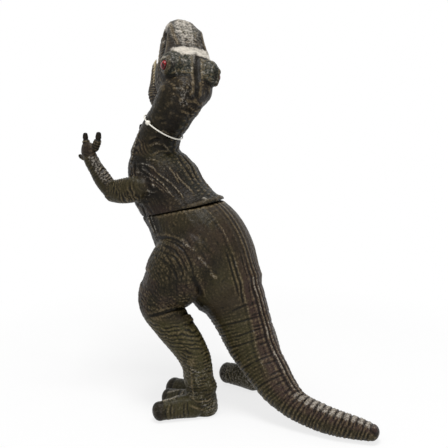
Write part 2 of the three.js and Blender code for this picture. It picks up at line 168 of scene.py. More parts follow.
def cell_edges(points: Points, size: float, seed: int, sharp: float = 0.16) -> Points:
    """A net of wrinkles, 1 on the lines between cells and 0 inside them.

    Args:
        points: N by 3 places in mm.
        size: Size of a cell in mm.
        seed: Which net.
        sharp: Width of a line as a share of a cell.

    Returns:
        N values.
    """
    p = points / size
    base = np.floor(p).astype(np.int64)
    near = np.full(len(p), 9.0)
    second = np.full(len(p), 9.0)
    for i in range(27):
        c = base + np.array([i % 3 - 1, i // 3 % 3 - 1, i // 9 - 1])
        at = c + np.stack([scatter(c, seed + 7 * axis) for axis in range(3)], axis=1)
        d = np.linalg.norm(p - at, axis=1)
        second = np.minimum(second, np.maximum(near, d))
        near = np.minimum(near, d)
    return np.exp(-(((second - near) / sharp) ** 2))


def hill(x: Points, centre: float, width: float) -> Points:
    """A smooth hill of height 1 round a centre."""
    return np.exp(-(((x - centre) / width) ** 2))


def ramp(x: Points, low: float, high: float) -> Points:
    """Rise smoothly from 0 at low to 1 at high."""
    t = np.clip((x - low) / (high - low), 0, 1)
    return t * t * (3 - 2 * t)


def patchy(points: Points, size: float, seed: int, low: float, high: float) -> Points:
    """Soft patches, 0 where a random field of a size in mm is below low and 1 where it is above high."""
    return ramp(lumps(points, size, seed), low, high)


def blob(points: Points, centre: Sequence[float], spread: float) -> Points:
    """A round bump of height 1 about a centre, with the square of its radius in mm."""
    return np.exp(-np.sum((points - np.array(centre)) ** 2, axis=1) / spread)


def grooves(phase: Points, sharp: float = 0.2) -> Points:
    """Lines at every whole number of a phase, 1 on a line and 0 between."""
    return hill(phase - np.round(phase), 0, sharp)


def wrinkles(points: Points, phase: Points, size: float, seed: int, sharp: float = 0.2) -> Points:
    """Uneven lines that follow a phase, wander and fade in and out.

    Args:
        points: N by 3 places in mm.
        phase: Distance across the lines in mm.
        size: Spacing of the lines in mm.
        seed: Which wrinkles.
        sharp: Width of a line as a share of the spacing.

    Returns:
        N values, 1 on the deepest lines.
    """
    wander = 0.9 * lumps(points, size * 2.6, seed) + 0.35 * lumps(points, size * 1.1, seed + 1)
    strength = 0.35 + 0.65 * ramp(lumps(points, size * 3.1, seed + 2), -0.35, 0.3)
    return grooves(phase / size + wander, sharp) * strength


# Forms
@dataclass
class Form:
    """A swelling, tapering form along a curved axis, with a domed end each way."""

    name: str
    rows: Sequence[Row]
    power: float = 2.0
    sides: int = 28
    step: float = 4.0
    dome: float = 0.8
    place: Callable[[Points], Points] | None = None
    spine: Points = field(init=False)

    def __post_init__(self) -> None:
        """Space the rows out evenly along a smooth curve."""
        rows = np.array(self.rows, float)
        ends = [2 * rows[0] - rows[1], *rows, 2 * rows[-1] - rows[-2]]
        out = []
        for i in range(len(rows) - 1):
            a, b, c, d = ends[i:i + 4]
            count = max(1, round(float(np.linalg.norm(c[:3] - b[:3])) / self.step))
            for t in np.arange(count) / count:
                out.append(0.5 * (2 * b + (c - a) * t + (2 * a - 5 * b + 4 * c - d) * t**2
                                  + (3 * b - a - 3 * c + d) * t**3))
        self.spine = np.array([*out, rows[-1]])

    def frames(self) -> tuple[Points, Points, Points]:
        """Directions along, across and through the form at each row.

        Returns:
            Three arrays of N by 3.
        """
        along = np.gradient(self.spine[:, :3], axis=0)
        along /= np.linalg.norm(along, axis=1, keepdims=True)
        wide = np.array([1.0, 0, 0]) - along * along[:, :1]
        wide /= np.linalg.norm(wide, axis=1, keepdims=True)
        return along, wide, np.cross(along, wide)

    def rings(self) -> list[Points]:
        """Points of each ring from the start's dome to the end's, in mm.

        Returns:
            A list of arrays of sides by 3.
        """
        along, wide, deep = self.frames()
        domes = []
        for i, sign in ((0, -1), (len(self.spine) - 1, 1)):
            a, b = self.spine[i, 3:]
            for share in (0.3, 0.58, 0.8, 0.94):
                shrink = math.sqrt(1 - share * share)
                at = self.spine[i, :3] + along[i] * share * self.dome * min(a, b) * sign
                domes.append((at, i, a * shrink, b * shrink))
        middle = [(r[:3], i, r[3], r[4]) for i, r in enumerate(self.spine)]
        angle = 2 * np.pi * np.arange(self.sides) / self.sides
        c, s = np.cos(angle), np.sin(angle)
        cx, sy = (np.sign(v) * np.abs(v) ** (2 / self.power) for v in (c, s))
        found = [at + np.outer(a * cx, wide[i]) + np.outer(b * sy, deep[i])
                 for at, i, a, b in (*reversed(domes[:4]), *middle, *domes[4:])]
        return [self.place(r) if self.place else r for r in found]

    def model(self) -> bpy.types.Object:
        """Model the form by extruding a disc ring by ring.

        Returns:
            The closed form, with its place in its mesh.
        """
        rings = [(r + SHIFT) * MM for r in self.rings()]
        clear_selection()
        bpy.ops.mesh.primitive_circle_add(vertices=self.sides, radius=0.01, fill_type="NGON")
        obj = bpy.context.object
        obj.name = self.name
        bpy.ops.object.mode_set(mode="EDIT")
        mesh = bmesh.from_edit_mesh(obj.data)
        seat = mesh.verts.layers.int.new("seat")
        for i, v in enumerate(mesh.verts):
            v[seat] = i
            v.co = rings[0][i]
        bmesh.update_edit_mesh(obj.data)
        for ring in rings[1:]:
            bpy.ops.mesh.extrude_region_move()
            mesh = bmesh.from_edit_mesh(obj.data)
            seat = mesh.verts.layers.int["seat"]
            for v in mesh.verts:
                if v.select:
                    v.co = ring[v[seat]]
            bmesh.update_edit_mesh(obj.data)
        bpy.ops.mesh.select_all(action="SELECT")
        bpy.ops.mesh.normals_make_consistent(inside=False)
        bpy.ops.object.mode_set(mode="OBJECT")
        obj.data.attributes.remove(obj.data.attributes["seat"])
        return obj

    def locate(self, points: Points) -> "Place":
        """Find where points lie along and round the form.

        Args:
            points: N by 3 places in mm, in the form's own frame.

        Returns:
            Where each one lies.
        """
        at = self.spine[:, :3]
        along, wide, deep = self.frames()
        length = np.concatenate([[0], np.cumsum(np.linalg.norm(np.diff(at, axis=0), axis=1))])
        nearest = np.full(len(points), 1e9)
        out = np.zeros((5, len(points)))
        for i in range(len(at) - 1):
            d = at[i + 1] - at[i]
            t = np.clip((points - at[i]) @ d / (d @ d), 0, 1)
            off = points - at[i] - t[:, None] * d
            side, depth = (self.spine[i, k] + t * (self.spine[i + 1, k] - self.spine[i, k]) for k in (3, 4))
            u, v, w = off @ wide[i] / side, off @ deep[i] / depth, off @ along[i] / side
            ratio = np.sqrt(u * u + v * v + w * w)
            new = np.array([length[i] + t * (length[i + 1] - length[i]), u, v, side, ratio])
            far = np.linalg.norm(off, axis=1)
            closer = far < nearest
            nearest[closer] = far[closer]
            out[:, closer] = new[:, closer]
        return Place(*out, float(length[-1]))


@dataclass(frozen=True)
class Place:
    """Where points lie on a form: mm along it, shares across and through it, its half width there."""

    along: Points
    across: Points
    through: Points
    half: Points
    ratio: Points
    length: float

    def share(self) -> Points:
        """How far along the form, from 0 to 1."""
        return self.along / self.length

    def angle(self) -> Points:
        """Angle round the form in radians, 0 across and a quarter turn through."""
        return np.arctan2(self.through, self.across)


def ball(name: str, centre: Sequence[float], half: Sequence[float],
         place: Callable[[Points], Points], sides: int = 32) -> bpy.types.Object:
    """Model an ellipsoid in the head's frame from a sphere that is stretched.

    Args:
        name: Its name.
        centre: Its centre in mm.
        half: Its half sizes in mm.
        place: What carries it to the toy's frame.
        sides: Segments round it.

    Returns:
        The ellipsoid, with its place in its mesh.
    """
    clear_selection()
    bpy.ops.mesh.primitive_uv_sphere_add(segments=sides, ring_count=sides // 2, radius=1)
    obj = bpy.context.object
    obj.name = name
    unit = np.array([v.co for v in obj.data.vertices])
    set_points(obj, place(unit * np.array(half) + np.array(centre)))
    return obj


# Meshes
def clear_selection() -> None:
    """Leave every object unselected and in object mode."""
    if bpy.context.object and bpy.context.object.mode != "OBJECT":
        bpy.ops.object.mode_set(mode="OBJECT")
    bpy.ops.object.select_all(action="DESELECT")


def choose(*objects: bpy.types.Object) -> bpy.types.Object:
    """Select only these objects and make the first one active.

    Args:
        objects: What to select.

    Returns:
        The active object.
    """
    clear_selection()
    for o in objects:
        o.select_set(True)
    bpy.context.view_layer.objects.active = objects[0]
    return objects[0]


def points_of(obj: bpy.types.Object) -> Points:
    """Read a mesh's points.

    Args:
        obj: The mesh's object.

    Returns:
        The points in mm, in the tables' frame.
    """
    co = np.empty(len(obj.data.vertices) * 3)
    obj.data.vertices.foreach_get("co", co)
    return co.reshape(-1, 3) / MM - SHIFT


def normals_of(obj: bpy.types.Object) -> Points:
    """Read which way a mesh faces.

    Args:
        obj: The mesh's object.

    Returns:
        The normal at each point.
    """
    n = np.empty(len(obj.data.vertices) * 3)
    obj.data.vertex_normals.foreach_get("vector", n)
    return n.reshape(-1, 3)


def set_points(obj: bpy.types.Object, points: Points) -> None:
    """Give a mesh new points, in mm in the tables' frame."""
    obj.data.vertices.foreach_set("co", ((points + SHIFT) * MM).ravel())
    obj.data.update()


def to_frame(point: Sequence[float]) -> tuple[float, ...]:
    """Turn a point of the tables into the frame's metres."""
    return tuple((np.array(point) + SHIFT) * MM)


def set_values(obj: bpy.types.Object, name: str, values: Points) -> None:
    """Store one value a point as a named attribute."""
    layer = obj.data.attributes.get(name) or obj.data.attributes.new(name, "FLOAT", "POINT")
    layer.data.foreach_set("value", values.astype(np.float32))


def blur(obj: bpy.types.Object, values: Points, times: int) -> Points:
    """Average values with their neighbours on a mesh.

    Args:
        obj: The mesh.
        values: One value a point.
        times: How many rounds.

    Returns:
        The blurred values.
    """
    ends = np.empty(len(obj.data.edges) * 2, np.int64)
    obj.data.edges.foreach_get("vertices", ends)
    a, b = ends.reshape(-1, 2).T
    count = len(values)
    degree = np.maximum(np.bincount(a, minlength=count) + np.bincount(b, minlength=count), 1)
    for _ in range(times):
        values = (np.bincount(a, values[b], count) + np.bincount(b, values[a], count)) / degree
    return values


def fuse(name: str, objects: Sequence[bpy.types.Object]) -> bpy.types.Object:
    """Melt closed forms that overlap into one even skin.

    Args:
        name: Name of the result.
        objects: The forms.

    Returns:
        The skin.
    """
    obj = choose(*objects)
    bpy.ops.object.join()
    obj.name = obj.data.name = name
    obj.data.remesh_voxel_size = VOXEL * MM
    bpy.ops.object.voxel_remesh()
    return obj


def relax(obj: bpy.types.Object, weight: Points, times: int) -> None:
    """Smooth a skin where a weight from 0 to 1 says so.

    Args:
        obj: The skin.
        weight: One weight a point.
        times: How many passes.
    """
    group = obj.vertex_groups.new(name="relax")
    for level in np.linspace(0.1, 1, 10):
        picked = np.nonzero(np.abs(weight - level) <= 0.05)[0]
        if len(picked):
            group.add(picked.tolist(), float(level), "REPLACE")
    choose(obj)
    made = obj.modifiers.new("Relax", "SMOOTH")
    made.factor, made.iterations, made.vertex_group = 0.5, times, group.name
    bpy.ops.object.modifier_apply(modifier=made.name)
    obj.vertex_groups.clear()


def pick_faces(obj: bpy.types.Object, chosen: Callable[[Points], Points]) -> None:
    """Go to edit mode with only some faces selected.

    Args:
        obj: The mesh.
        chosen: Says for the faces' centres, in mm, which are selected.
    """
    choose(obj)
    bpy.context.tool_settings.mesh_select_mode = (False, False, True)
    bpy.ops.object.mode_set(mode="EDIT")
    bpy.ops.mesh.select_all(action="DESELECT")
    bpy.ops.object.mode_set(mode="OBJECT")
    centre = np.empty(len(obj.data.polygons) * 3)
    obj.data.polygons.foreach_get("center", centre)
    obj.data.polygons.foreach_set("select", chosen(centre.reshape(-1, 3) / MM - SHIFT))
    bpy.ops.object.mode_set(mode="EDIT")


def close_holes(obj: bpy.types.Object) -> None:
    """Close every open edge of a mesh.

    Args:
        obj: The mesh's object.
    """
    choose(obj)
    bpy.ops.object.mode_set(mode="EDIT")
    bpy.ops.mesh.select_mode(type="EDGE")
    bpy.ops.mesh.select_all(action="DESELECT")
    bpy.ops.mesh.select_non_manifold()
    bpy.ops.mesh.fill_holes(sides=0)
    bpy.ops.object.mode_set(mode="OBJECT")


def split_off(obj: bpy.types.Object, name: str, at: Sequence[float], towards: Sequence[float],
              inside: Callable[[Points], Points]) -> bpy.types.Object:
    """Cut a limb off a skin at a plane and close both.

    Args:
        obj: The skin.
        name: The limb's name.
        at: A point of the plane in mm.
        towards: A point further down the limb in mm; the plane is square to the way there.
        inside: Says for places in mm which are near the limb at all.

    Returns:
        The limb.
    """
    normal = np.array(towards, float) - np.array(at, float)
    pick_faces(obj, inside)
    bpy.ops.mesh.bisect(plane_co=(np.array(at) + SHIFT) * MM, plane_no=normal)
    bpy.ops.object.mode_set(mode="OBJECT")
    pick_faces(obj, lambda c: inside(c) & ((c - np.array(at)) @ normal > 0))
    bpy.ops.mesh.separate(type="SELECTED")
    bpy.ops.object.mode_set(mode="OBJECT")
    limb = next(o for o in bpy.context.selected_objects if o is not obj)
    limb.name = limb.data.name = name
    for o in (obj, limb):
        close_holes(o)
    return limb


def cut_level(obj: bpy.types.Object, at: Points, normal: Points) -> None:
    """Cut away what lies behind a plane and close the cut.

    Args:
        obj: The object to cut.
        at: A point of the plane in mm.
        normal: The way the plane faces.
    """
    choose(obj)
    bpy.ops.object.mode_set(mode="EDIT")
    bpy.ops.mesh.select_all(action="SELECT")
    bpy.ops.mesh.bisect(plane_co=(at + SHIFT) * MM, plane_no=normal, clear_inner=True, use_fill=True)
    bpy.ops.object.mode_set(mode="OBJECT")


def dress(obj: bpy.types.Object, finish: bpy.types.Material) -> None:
    """Give a piece its only finish, and shade it smooth but for its sharp edges.

    Args:
        obj: The piece.
        finish: Its material.
    """
    obj.data.materials.clear()
    obj.data.materials.append(finish)
    choose(obj)
    bpy.ops.object.shade_smooth_by_angle(angle=math.radians(SHARP_DEGREES))
    log.info("%s: %d points", obj.name, len(obj.data.vertices))


# Relief
@dataclass(frozen=True)
class Fold:
    """A raised or sunken line on a skin: half width and height in mm, its points, how pale it is painted,
    partly as painted highlight.
    """

    width: float
    height: float
    path: Sequence[tuple[float, float, float]]
    pale_and_highlight: float = 0.0


class Relief:
    """Height in mm and tints that are gathered for a skin's points before they are carved into it."""

    skin_depth = 2.5  # mm that a fold's path may lie off the skin
    lowest = 0.02  # mm above the floor
    full_relief = 0.8  # mm between the lowest and the highest that the finish tells apart

    def __init__(self, obj: bpy.types.Object) -> None:
        """Start flat and untinted.

        Args:
            obj: The skin's object.
        """
        self.obj = obj
        self.points = points_of(obj)
        self.facing = normals_of(obj) * np.where(self.points[:, :1] < 0, [[-1, 1, 1]], [[1, 1, 1]])
        self.height = np.zeros(len(self.points))
        self.tints = {tint: np.zeros(len(self.points)) for tint in Tint}
        self.along = np.zeros(len(self.points))
        self.rings = np.zeros(len(self.points))

    def tint(self, tint: Tint, *amounts: Points) -> None:
        """Tint at least as much as each amount says."""
        self.tints[tint] = np.maximum.reduce([self.tints[tint], *amounts])

    def fold(self, fold: Fold, points: Points, weight: Points) -> None:
        """Raise or sink a line and tint it.

        Args:
            fold: The line.
            points: Places of the skin's points, folded to the left side, in mm.
            weight: How much each point takes part, from 0 to 1.
        """
        path = np.array(fold.path, float)
        reach = 2.8 * fold.width + self.skin_depth
        low, high = path.min(axis=0) - reach, path.max(axis=0) + reach
        near = np.nonzero(((points > low) & (points < high)).all(axis=1))[0]
        p = points[near]
        steps = np.linalg.norm(np.diff(path, axis=0), axis=1)
        walked = np.concatenate([[0], np.cumsum(steps)])
        best = np.full(len(near), 1e9)
        part = np.zeros(len(near))
        for i, step in enumerate(steps):
            d = path[i + 1] - path[i]
            t = np.clip((p - path[i]) @ d / (d @ d), 0, 1)
            off = p - path[i] - t[:, None] * d
            # A path may lie a little above or below the skin, so that part of the distance doesn't count.
            deep = np.clip(np.sum(off * self.facing[near], axis=1), -self.skin_depth, self.skin_depth)
            far = np.sqrt(np.maximum(np.sum(off * off, axis=1) - deep * deep, 0))
            closer = far < best
            best[closer] = far[closer]
            part[closer] = ((walked[i] + t * step) / walked[-1])[closer]
        inner = 0.25 + 0.75 * ramp(np.minimum(part, 1 - part), -0.02, 0.16)
        strength = hill(best, 0, fold.width) * inner * weight[near]
        self.height[near] += fold.height * strength
        pale_and_highlight = self.tints[Tint.PALE_AND_HIGHLIGHT]
        pale_and_highlight[near] = np.maximum(pale_and_highlight[near], fold.pale_and_highlight * strength)

    def carve(self) -> None:
        """Move the points, and store the relief and the tints for the finish."""
        self.points = self.points + normals_of(self.obj) * self.height[:, None]
        self.points[:, 2] = np.maximum(self.points[:, 2], self.lowest)
        set_points(self.obj, self.points)
        proud = self.height - blur(self.obj, self.height, 14)
        set_values(self.obj, "relief", np.clip(0.5 + proud / self.full_relief, 0, 1))
        for tint, amount in self.tints.items():
            set_values(self.obj, tint.value, np.clip(blur(self.obj, amount, 1), 0, 1))
        set_values(self.obj, "along", self.along)
        set_values(self.obj, "rings", blur(self.obj, self.rings, 3))


@dataclass(frozen=True)
class Zone:
    """What one form owns of a skin: all the skin's points, where they lie on it, its share of each."""

    relief: Relief
    points: Points
    on: Place
    own: Points

    def carve(self, height: Points) -> None:
        """Raise the zone by a height in mm."""
        self.relief.height += height * self.own

    def tint(self, tint: Tint, *amounts: Points | float) -> None:
        """Tint the zone at least as much as each amount says."""
        self.relief.tint(tint, *(amount * self.own for amount in amounts))

    def ring(self, strength: Points | float) -> None:
        """Let fine rings follow the form."""
        self.relief.along += self.on.along * self.own
        self.relief.rings += strength * self.own


def shares(places: dict[str, Place], soft: float = 0.07) -> dict[str, Points]:
    """How much each form owns each point.

    Args:
        places: Where the points lie on each form.
        soft: How softly one form passes into the next.

    Returns:
        For each form N shares that add up to 1.
    """
    stack = np.array([p.ratio for p in places.values()])
    weight = np.exp(-(stack - stack.min(axis=0)) / soft)
    return dict(zip(places, weight / weight.sum(axis=0)))


def near_joins(places: dict[str, Place], soft: float = 0.16) -> Points:
    """Say where two forms meet: 1 on the line between them, falling to 0."""
    stack = np.sort(np.array([p.ratio for p in places.values()]), axis=0)
    return np.exp(-(((stack[1] - stack[0]) / soft) ** 2))


# Finishes
def feed(node: bpy.types.Node, inputs: dict) -> None:
    """Give inputs of a node a socket to follow or a constant.

    Args:
        node: The node.
        inputs: What each input gets, by its name or number.
    """
    for key, value in inputs.items():
        if isinstance(value, Socket):
            node.id_data.links.new(value, node.inputs[key])
        else:
            node.inputs[key].default_value = value


def add_node(tree: bpy.types.NodeTree, kind: str, inputs: dict | None = None, output: str | int = 0,
             **settings: str) -> Socket:
    """Add one shader node.

    Args:
        tree: The node tree it goes into.
        kind: The node's type name.
        inputs: Input name or number to the socket that feeds it or to its constant.
        output: Name or number of the wanted output.
        settings: Properties to set.

    Returns:
        The wanted output.
    """
    node = tree.nodes.new(kind)
    for key, value in settings.items():
        setattr(node, key, value)
    feed(node, inputs or {})
    return node.outputs[output]


class Finish:
    """A material that is being made: coats of paint and fine relief on one surface shader."""

    def __init__(self, name: str) -> None:
        """Start a material with one surface shader.

        Args:
            name: The material's name.
        """
        self.material = bpy.data.materials.new(name)
        self.material.use_nodes = True
        self.tree = self.material.node_tree
        self.shader = self.tree.nodes["Principled BSDF"]
        self.where = add_node(self.tree, "ShaderNodeTexCoord", output="Object")

    def paint(self, under: Socket | str, *coats: tuple[Socket, str]) -> Socket:
        """Lay coats of paint over a colour.

        Args:
            under: The colour below, a socket or a hex code.
            coats: How much of each coat shows and its hex code, from the lowest to the uppermost.

        Returns:
            The colour with all its coats.
        """
        colour = linear(under) if isinstance(under, str) else under
        for factor, code in coats:
            colour = add_node(self.tree, "ShaderNodeMix", {0: factor, 6: colour, 7: linear(code)}, 2,
                              data_type="RGBA")
        return colour

    def mottle(self, size_mm: float, dark: str, light: str) -> tuple[Socket, Socket]:
        """Pass from one colour into another in soft patches.

        Args:
            size_mm: Size of a patch.
            dark: The darker colour's hex code.
            light: The lighter colour's hex code.

        Returns:
            The patches' own value, and the mottled colour.
        """
        patches = add_node(self.tree, "ShaderNodeTexNoise", {
            "Vector": self.where, "Scale": 1 / (size_mm * MM), "Detail": 4,
            "Roughness": NOISE_ROUGHNESS}, "Fac")
        share = add_node(self.tree, "ShaderNodeMapRange", {
            "Value": patches, "From Min": 0.35, "From Max": 0.65}, interpolation_type="SMOOTHSTEP")
        return patches, self.paint(dark, (share, light))

    def emboss(self, *layers: tuple[Socket, float, float]) -> Socket:
        """Press layers of fine relief into the surface.

        Args:
            layers: Each one's height, its depth in mm at full height, and its strength.

        Returns:
            The surface's normal.
        """
        below = {}
        for height, depth, strength in layers:
            below["Normal"] = add_node(self.tree, "ShaderNodeBump", {
                "Height": height, "Strength": strength, "Distance": depth * MM, **below})
        return below["Normal"]

    def finish(self, **inputs: Socket | float) -> bpy.types.Material:
        """Feed the surface shader.

        Args:
            inputs: Its input names, with _ for a space, to sockets or constants.

        Returns:
            The finished material.
        """
        feed(self.shader, {name.replace("_", " "): value for name, value in inputs.items()})
        return self.material


@dataclass(frozen=True)
class SoftVinyl:
    """Soft PVC skin: moulded wrinkles, sprayed olive and brown, paled by dry brushing and painted highlight
    where it stands proud, with painted shade in the creases.
    """

    name: str = "slush_moulded_soft_pvc"
    ground: str = "#241D12"
    earth: str = "#17110A"
    olive: str = "#38341B"
    mauve: str = "#3A2A26"
    moss: str = "#1C231B"
    gum: str = "#5A2B28"
    deep: str = "#0B0803"
    # Paint rubbed paler on the ridges, which also stands for painted highlight there; the flecks share this
    # colour.
    rub_and_highlight: str = "#6B5D45"
    # The pale coat: pale paint, and painted highlight.
    pale_and_highlight: str = "#C6BFB3"
    ring_mm: float = 2.3
    ring_wander: float = 14.0
    pore_mm: float = 1.3
    # name, size of a lump in mm, detail
    noises: tuple = (("patches", 22, 3), ("mottle", 5.5, 4), ("grain", 1.9, 5), ("fleck", 0.9, 2))
    # name, what it follows, from low and high to low and high; or name, operation, what it joins
    steps: tuple = (
        ("ground", "patches", 0.4, 0.62, 0.0, 1.0), ("cover", "mottle", 0.3, 0.55, 0.55, 1.0),
        ("olive_coat", "MULTIPLY", "olive", "cover"), ("mauve_coat", "MULTIPLY", "mauve", "cover"),
        ("moss_coat", "MULTIPLY", "moss", "cover"), ("proud", "relief", 0.52, 0.9, 0.0, 1.0),
        # The ridge coat is paint rubbed paler where the relief stands proud, partly painted highlight.
        ("rubbed", "grain", 0.35, 0.62, 0.15, 0.8), ("ridge_rub_and_highlight", "MULTIPLY", "proud", "rubbed"),
        # The sunk step darkens the creases as painted shade.
        ("sunk", "relief", 0.48, 0.18, 0.0, 0.9), ("flecks", "fleck", 0.56, 0.72, 0.0, 0.3),
        # The pale coat, broken up by grain, is pale paint and painted highlight.
        ("pits", "grain", 0.5, 0.3, 0.0, 0.45), ("pale_and_highlight_grain", "grain", 0.3, 0.7, -0.18, 0.18),
        ("grained_pale_and_highlight", "ADD", "pale_and_highlight", "pale_and_highlight_grain"), ("pale_and_highlight_coat", "grained_pale_and_highlight", 0.18, 0.9, 0.0, 1.0),
        ("gloss", "grain", 0.3, 0.7, 0.46, 0.28),
    )

    def make(self) -> bpy.types.Material:
        """Build the material.

        Returns:
            The finished material.
        """
        # Soft PVC is semi-gloss: broad soft highlights that the wrinkles break into short streaks, with
        # painted shade in the creases, and paint rubbed paler on the ridges that is partly painted highlight.
        f = Finish(self.name)
        got = {name: add_node(f.tree, "ShaderNodeAttribute", output="Fac", attribute_name=name)
               for name in (*(tint.value for tint in Tint), "relief", "along", "rings")}
        for name, size, detail in self.noises:
            got[name] = add_node(f.tree, "ShaderNodeTexNoise", {
                "Vector": f.where, "Scale": 1 / (size * MM), "Detail": detail,
                "Roughness": NOISE_ROUGHNESS}, "Fac")
        for name, how, *rest in self.steps:
            if how in ("ADD", "MULTIPLY"):
                inputs = {i: got[other] for i, other in enumerate(rest)}
                got[name] = add_node(f.tree, "ShaderNodeMath", inputs, operation=how)
            else:
                inputs = dict(zip(("From Min", "From Max", "To Min", "To Max"), rest)) | {"Value": got[how]}
                got[name] = add_node(f.tree, "ShaderNodeMapRange", inputs, interpolation_type="SMOOTHSTEP")
        # The coats: sunk is painted shade in the creases, the ridge coat is rubbed paint and painted
        # highlight, and the last, pale coat is pale paint and painted highlight.
        coats = (("ground", self.earth), ("olive_coat", self.olive), ("mauve_coat", self.mauve),
                 ("moss_coat", self.moss), ("gum", self.gum), ("ridge_rub_and_highlight", self.rub_and_highlight), ("sunk", self.deep),
                 ("flecks", self.rub_and_highlight), ("pits", self.deep), ("dark", self.deep), ("pale_and_highlight_coat", self.pale_and_highlight))
        colour = f.paint(self.ground, *((got[name], code) for name, code in coats))
        wander = add_node(f.tree, "ShaderNodeMath", {
            0: got["mottle"], 1: self.ring_wander}, operation="MULTIPLY")
        turns = add_node(f.tree, "ShaderNodeMath", {
            0: got["along"], 1: 2 * math.pi / self.ring_mm, 2: wander}, operation="MULTIPLY_ADD")
        wave = add_node(f.tree, "ShaderNodeMath", {0: turns}, operation="SINE")
        rings = add_node(f.tree, "ShaderNodeMath", {0: wave, 1: got["rings"]}, operation="MULTIPLY")
        pores = add_node(f.tree, "ShaderNodeTexVoronoi", {
            "Vector": f.where, "Scale": 1 / (self.pore_mm * MM)}, "Distance", feature="DISTANCE_TO_EDGE")
        normal = f.emboss((pores, 0.35, 0.6), (got["mottle"], 0.9, 0.5), (rings, 0.22, 0.8))
        return f.finish(Base_Color=colour, Normal=normal, Roughness=got["gloss"], IOR=1.5,
                        Specular_IOR_Level=0.12)


@dataclass(frozen=True)
class Plain:
    """A small finish of one mottled colour."""

    name: str
    dark: str
    light: str
    roughness: float
    size_mm: float = 2.5
    depth_mm: float = 0.15
    ior: float = 1.5

    def make(self) -> bpy.types.Material:
        """Build the material.

        Returns:
            The finished material.
        """
        f = Finish(self.name)
        patches, colour = f.mottle(self.size_mm, self.dark, self.light)
        return f.finish(Base_Color=colour, Normal=f.emboss((patches, self.depth_mm, 1.0)),
                        Roughness=self.roughness, IOR=self.ior)


# Moulded tooth plastic: hard, creamy, a little yellow at the root, with a tight small highlight.
TOOTH = Plain("moulded_cream_pvc_tooth", "#B9A77E", "#D9CDAE", 0.3)
# Sprayed mouth paint: dull wet-looking red-brown.
MOUTH = Plain("sprayed_mouth_enamel", "#4E1F1D", "#7A3A34", 0.38)
# Extruded nylon tag line: milky white with a soft sheen.
NYLON = Plain("extruded_nylon_line", "#D8D3C6", "#EFEBE0", 0.42, ior=1.53)


@dataclass(frozen=True)
class EyeEnamel:
    """Gloss enamel eye: blood red with a dark upright slit, darker at the rim and with the lid's painted
    shadow over its back, under a clear coat.
    """

    name: str = "gloss_enamel_eye"
    mottle_mm: float = 1.6
    shade: str = "#5C070C"
    red: str = "#981219"
    # The rim colour also paints the lid's shadow over the back of the eye.
    rim: str = "#4A0B0C"
    slit: str = "#0B0505"

    def make(self) -> bpy.types.Material:
        """Build the material.

        Returns:
            The finished material.
        """
        # The clear coat gives the wet point of light; the red darkens round the slit.
        f = Finish(self.name)
        rim, slit = (add_node(f.tree, "ShaderNodeAttribute", output="Fac", attribute_name=name)
                     for name in ("rim", "slit"))
        _, red = f.mottle(self.mottle_mm, self.shade, self.red)
        colour = f.paint(red, (rim, self.rim), (slit, self.slit))
        return f.finish(Base_Color=colour, Roughness=0.2, IOR=1.45, Specular_IOR_Level=0.25, Coat_Weight=0.15,
                        Coat_Roughness=0.04)


# Head
class HeadField:
    """The skin's points in the head's frame, and what the steps of its carving share."""

    def __init__(self, zones: dict[str, Zone], local: Points) -> None:
        """Work out the shared fields.

        Args:
            zones: The skin's zones.
            local: The skin's points in the head's frame.
        """
        self.relief = zones["skull"].relief
        self.owned = zones["skull"].own + zones["jaw"].own
        self.x, self.y, self.z = local.T
        # The ridge between the brows stands a little to the right of the middle of the skull.
        self.u = np.abs(self.x + 4 * ramp(self.y, -50, -15))
        self.q = np.stack([self.u, self.y, self.z], axis=1)
        self.top = ramp(self.z, -17, -9) * ramp(self.y, 50, 40)
        self.speckle = ramp(lumps(self.q, 2.0, 31) + 0.5 * lumps(self.q, 1.1, 32), -0.25, 0.25)
        self.dark = np.zeros(len(local))


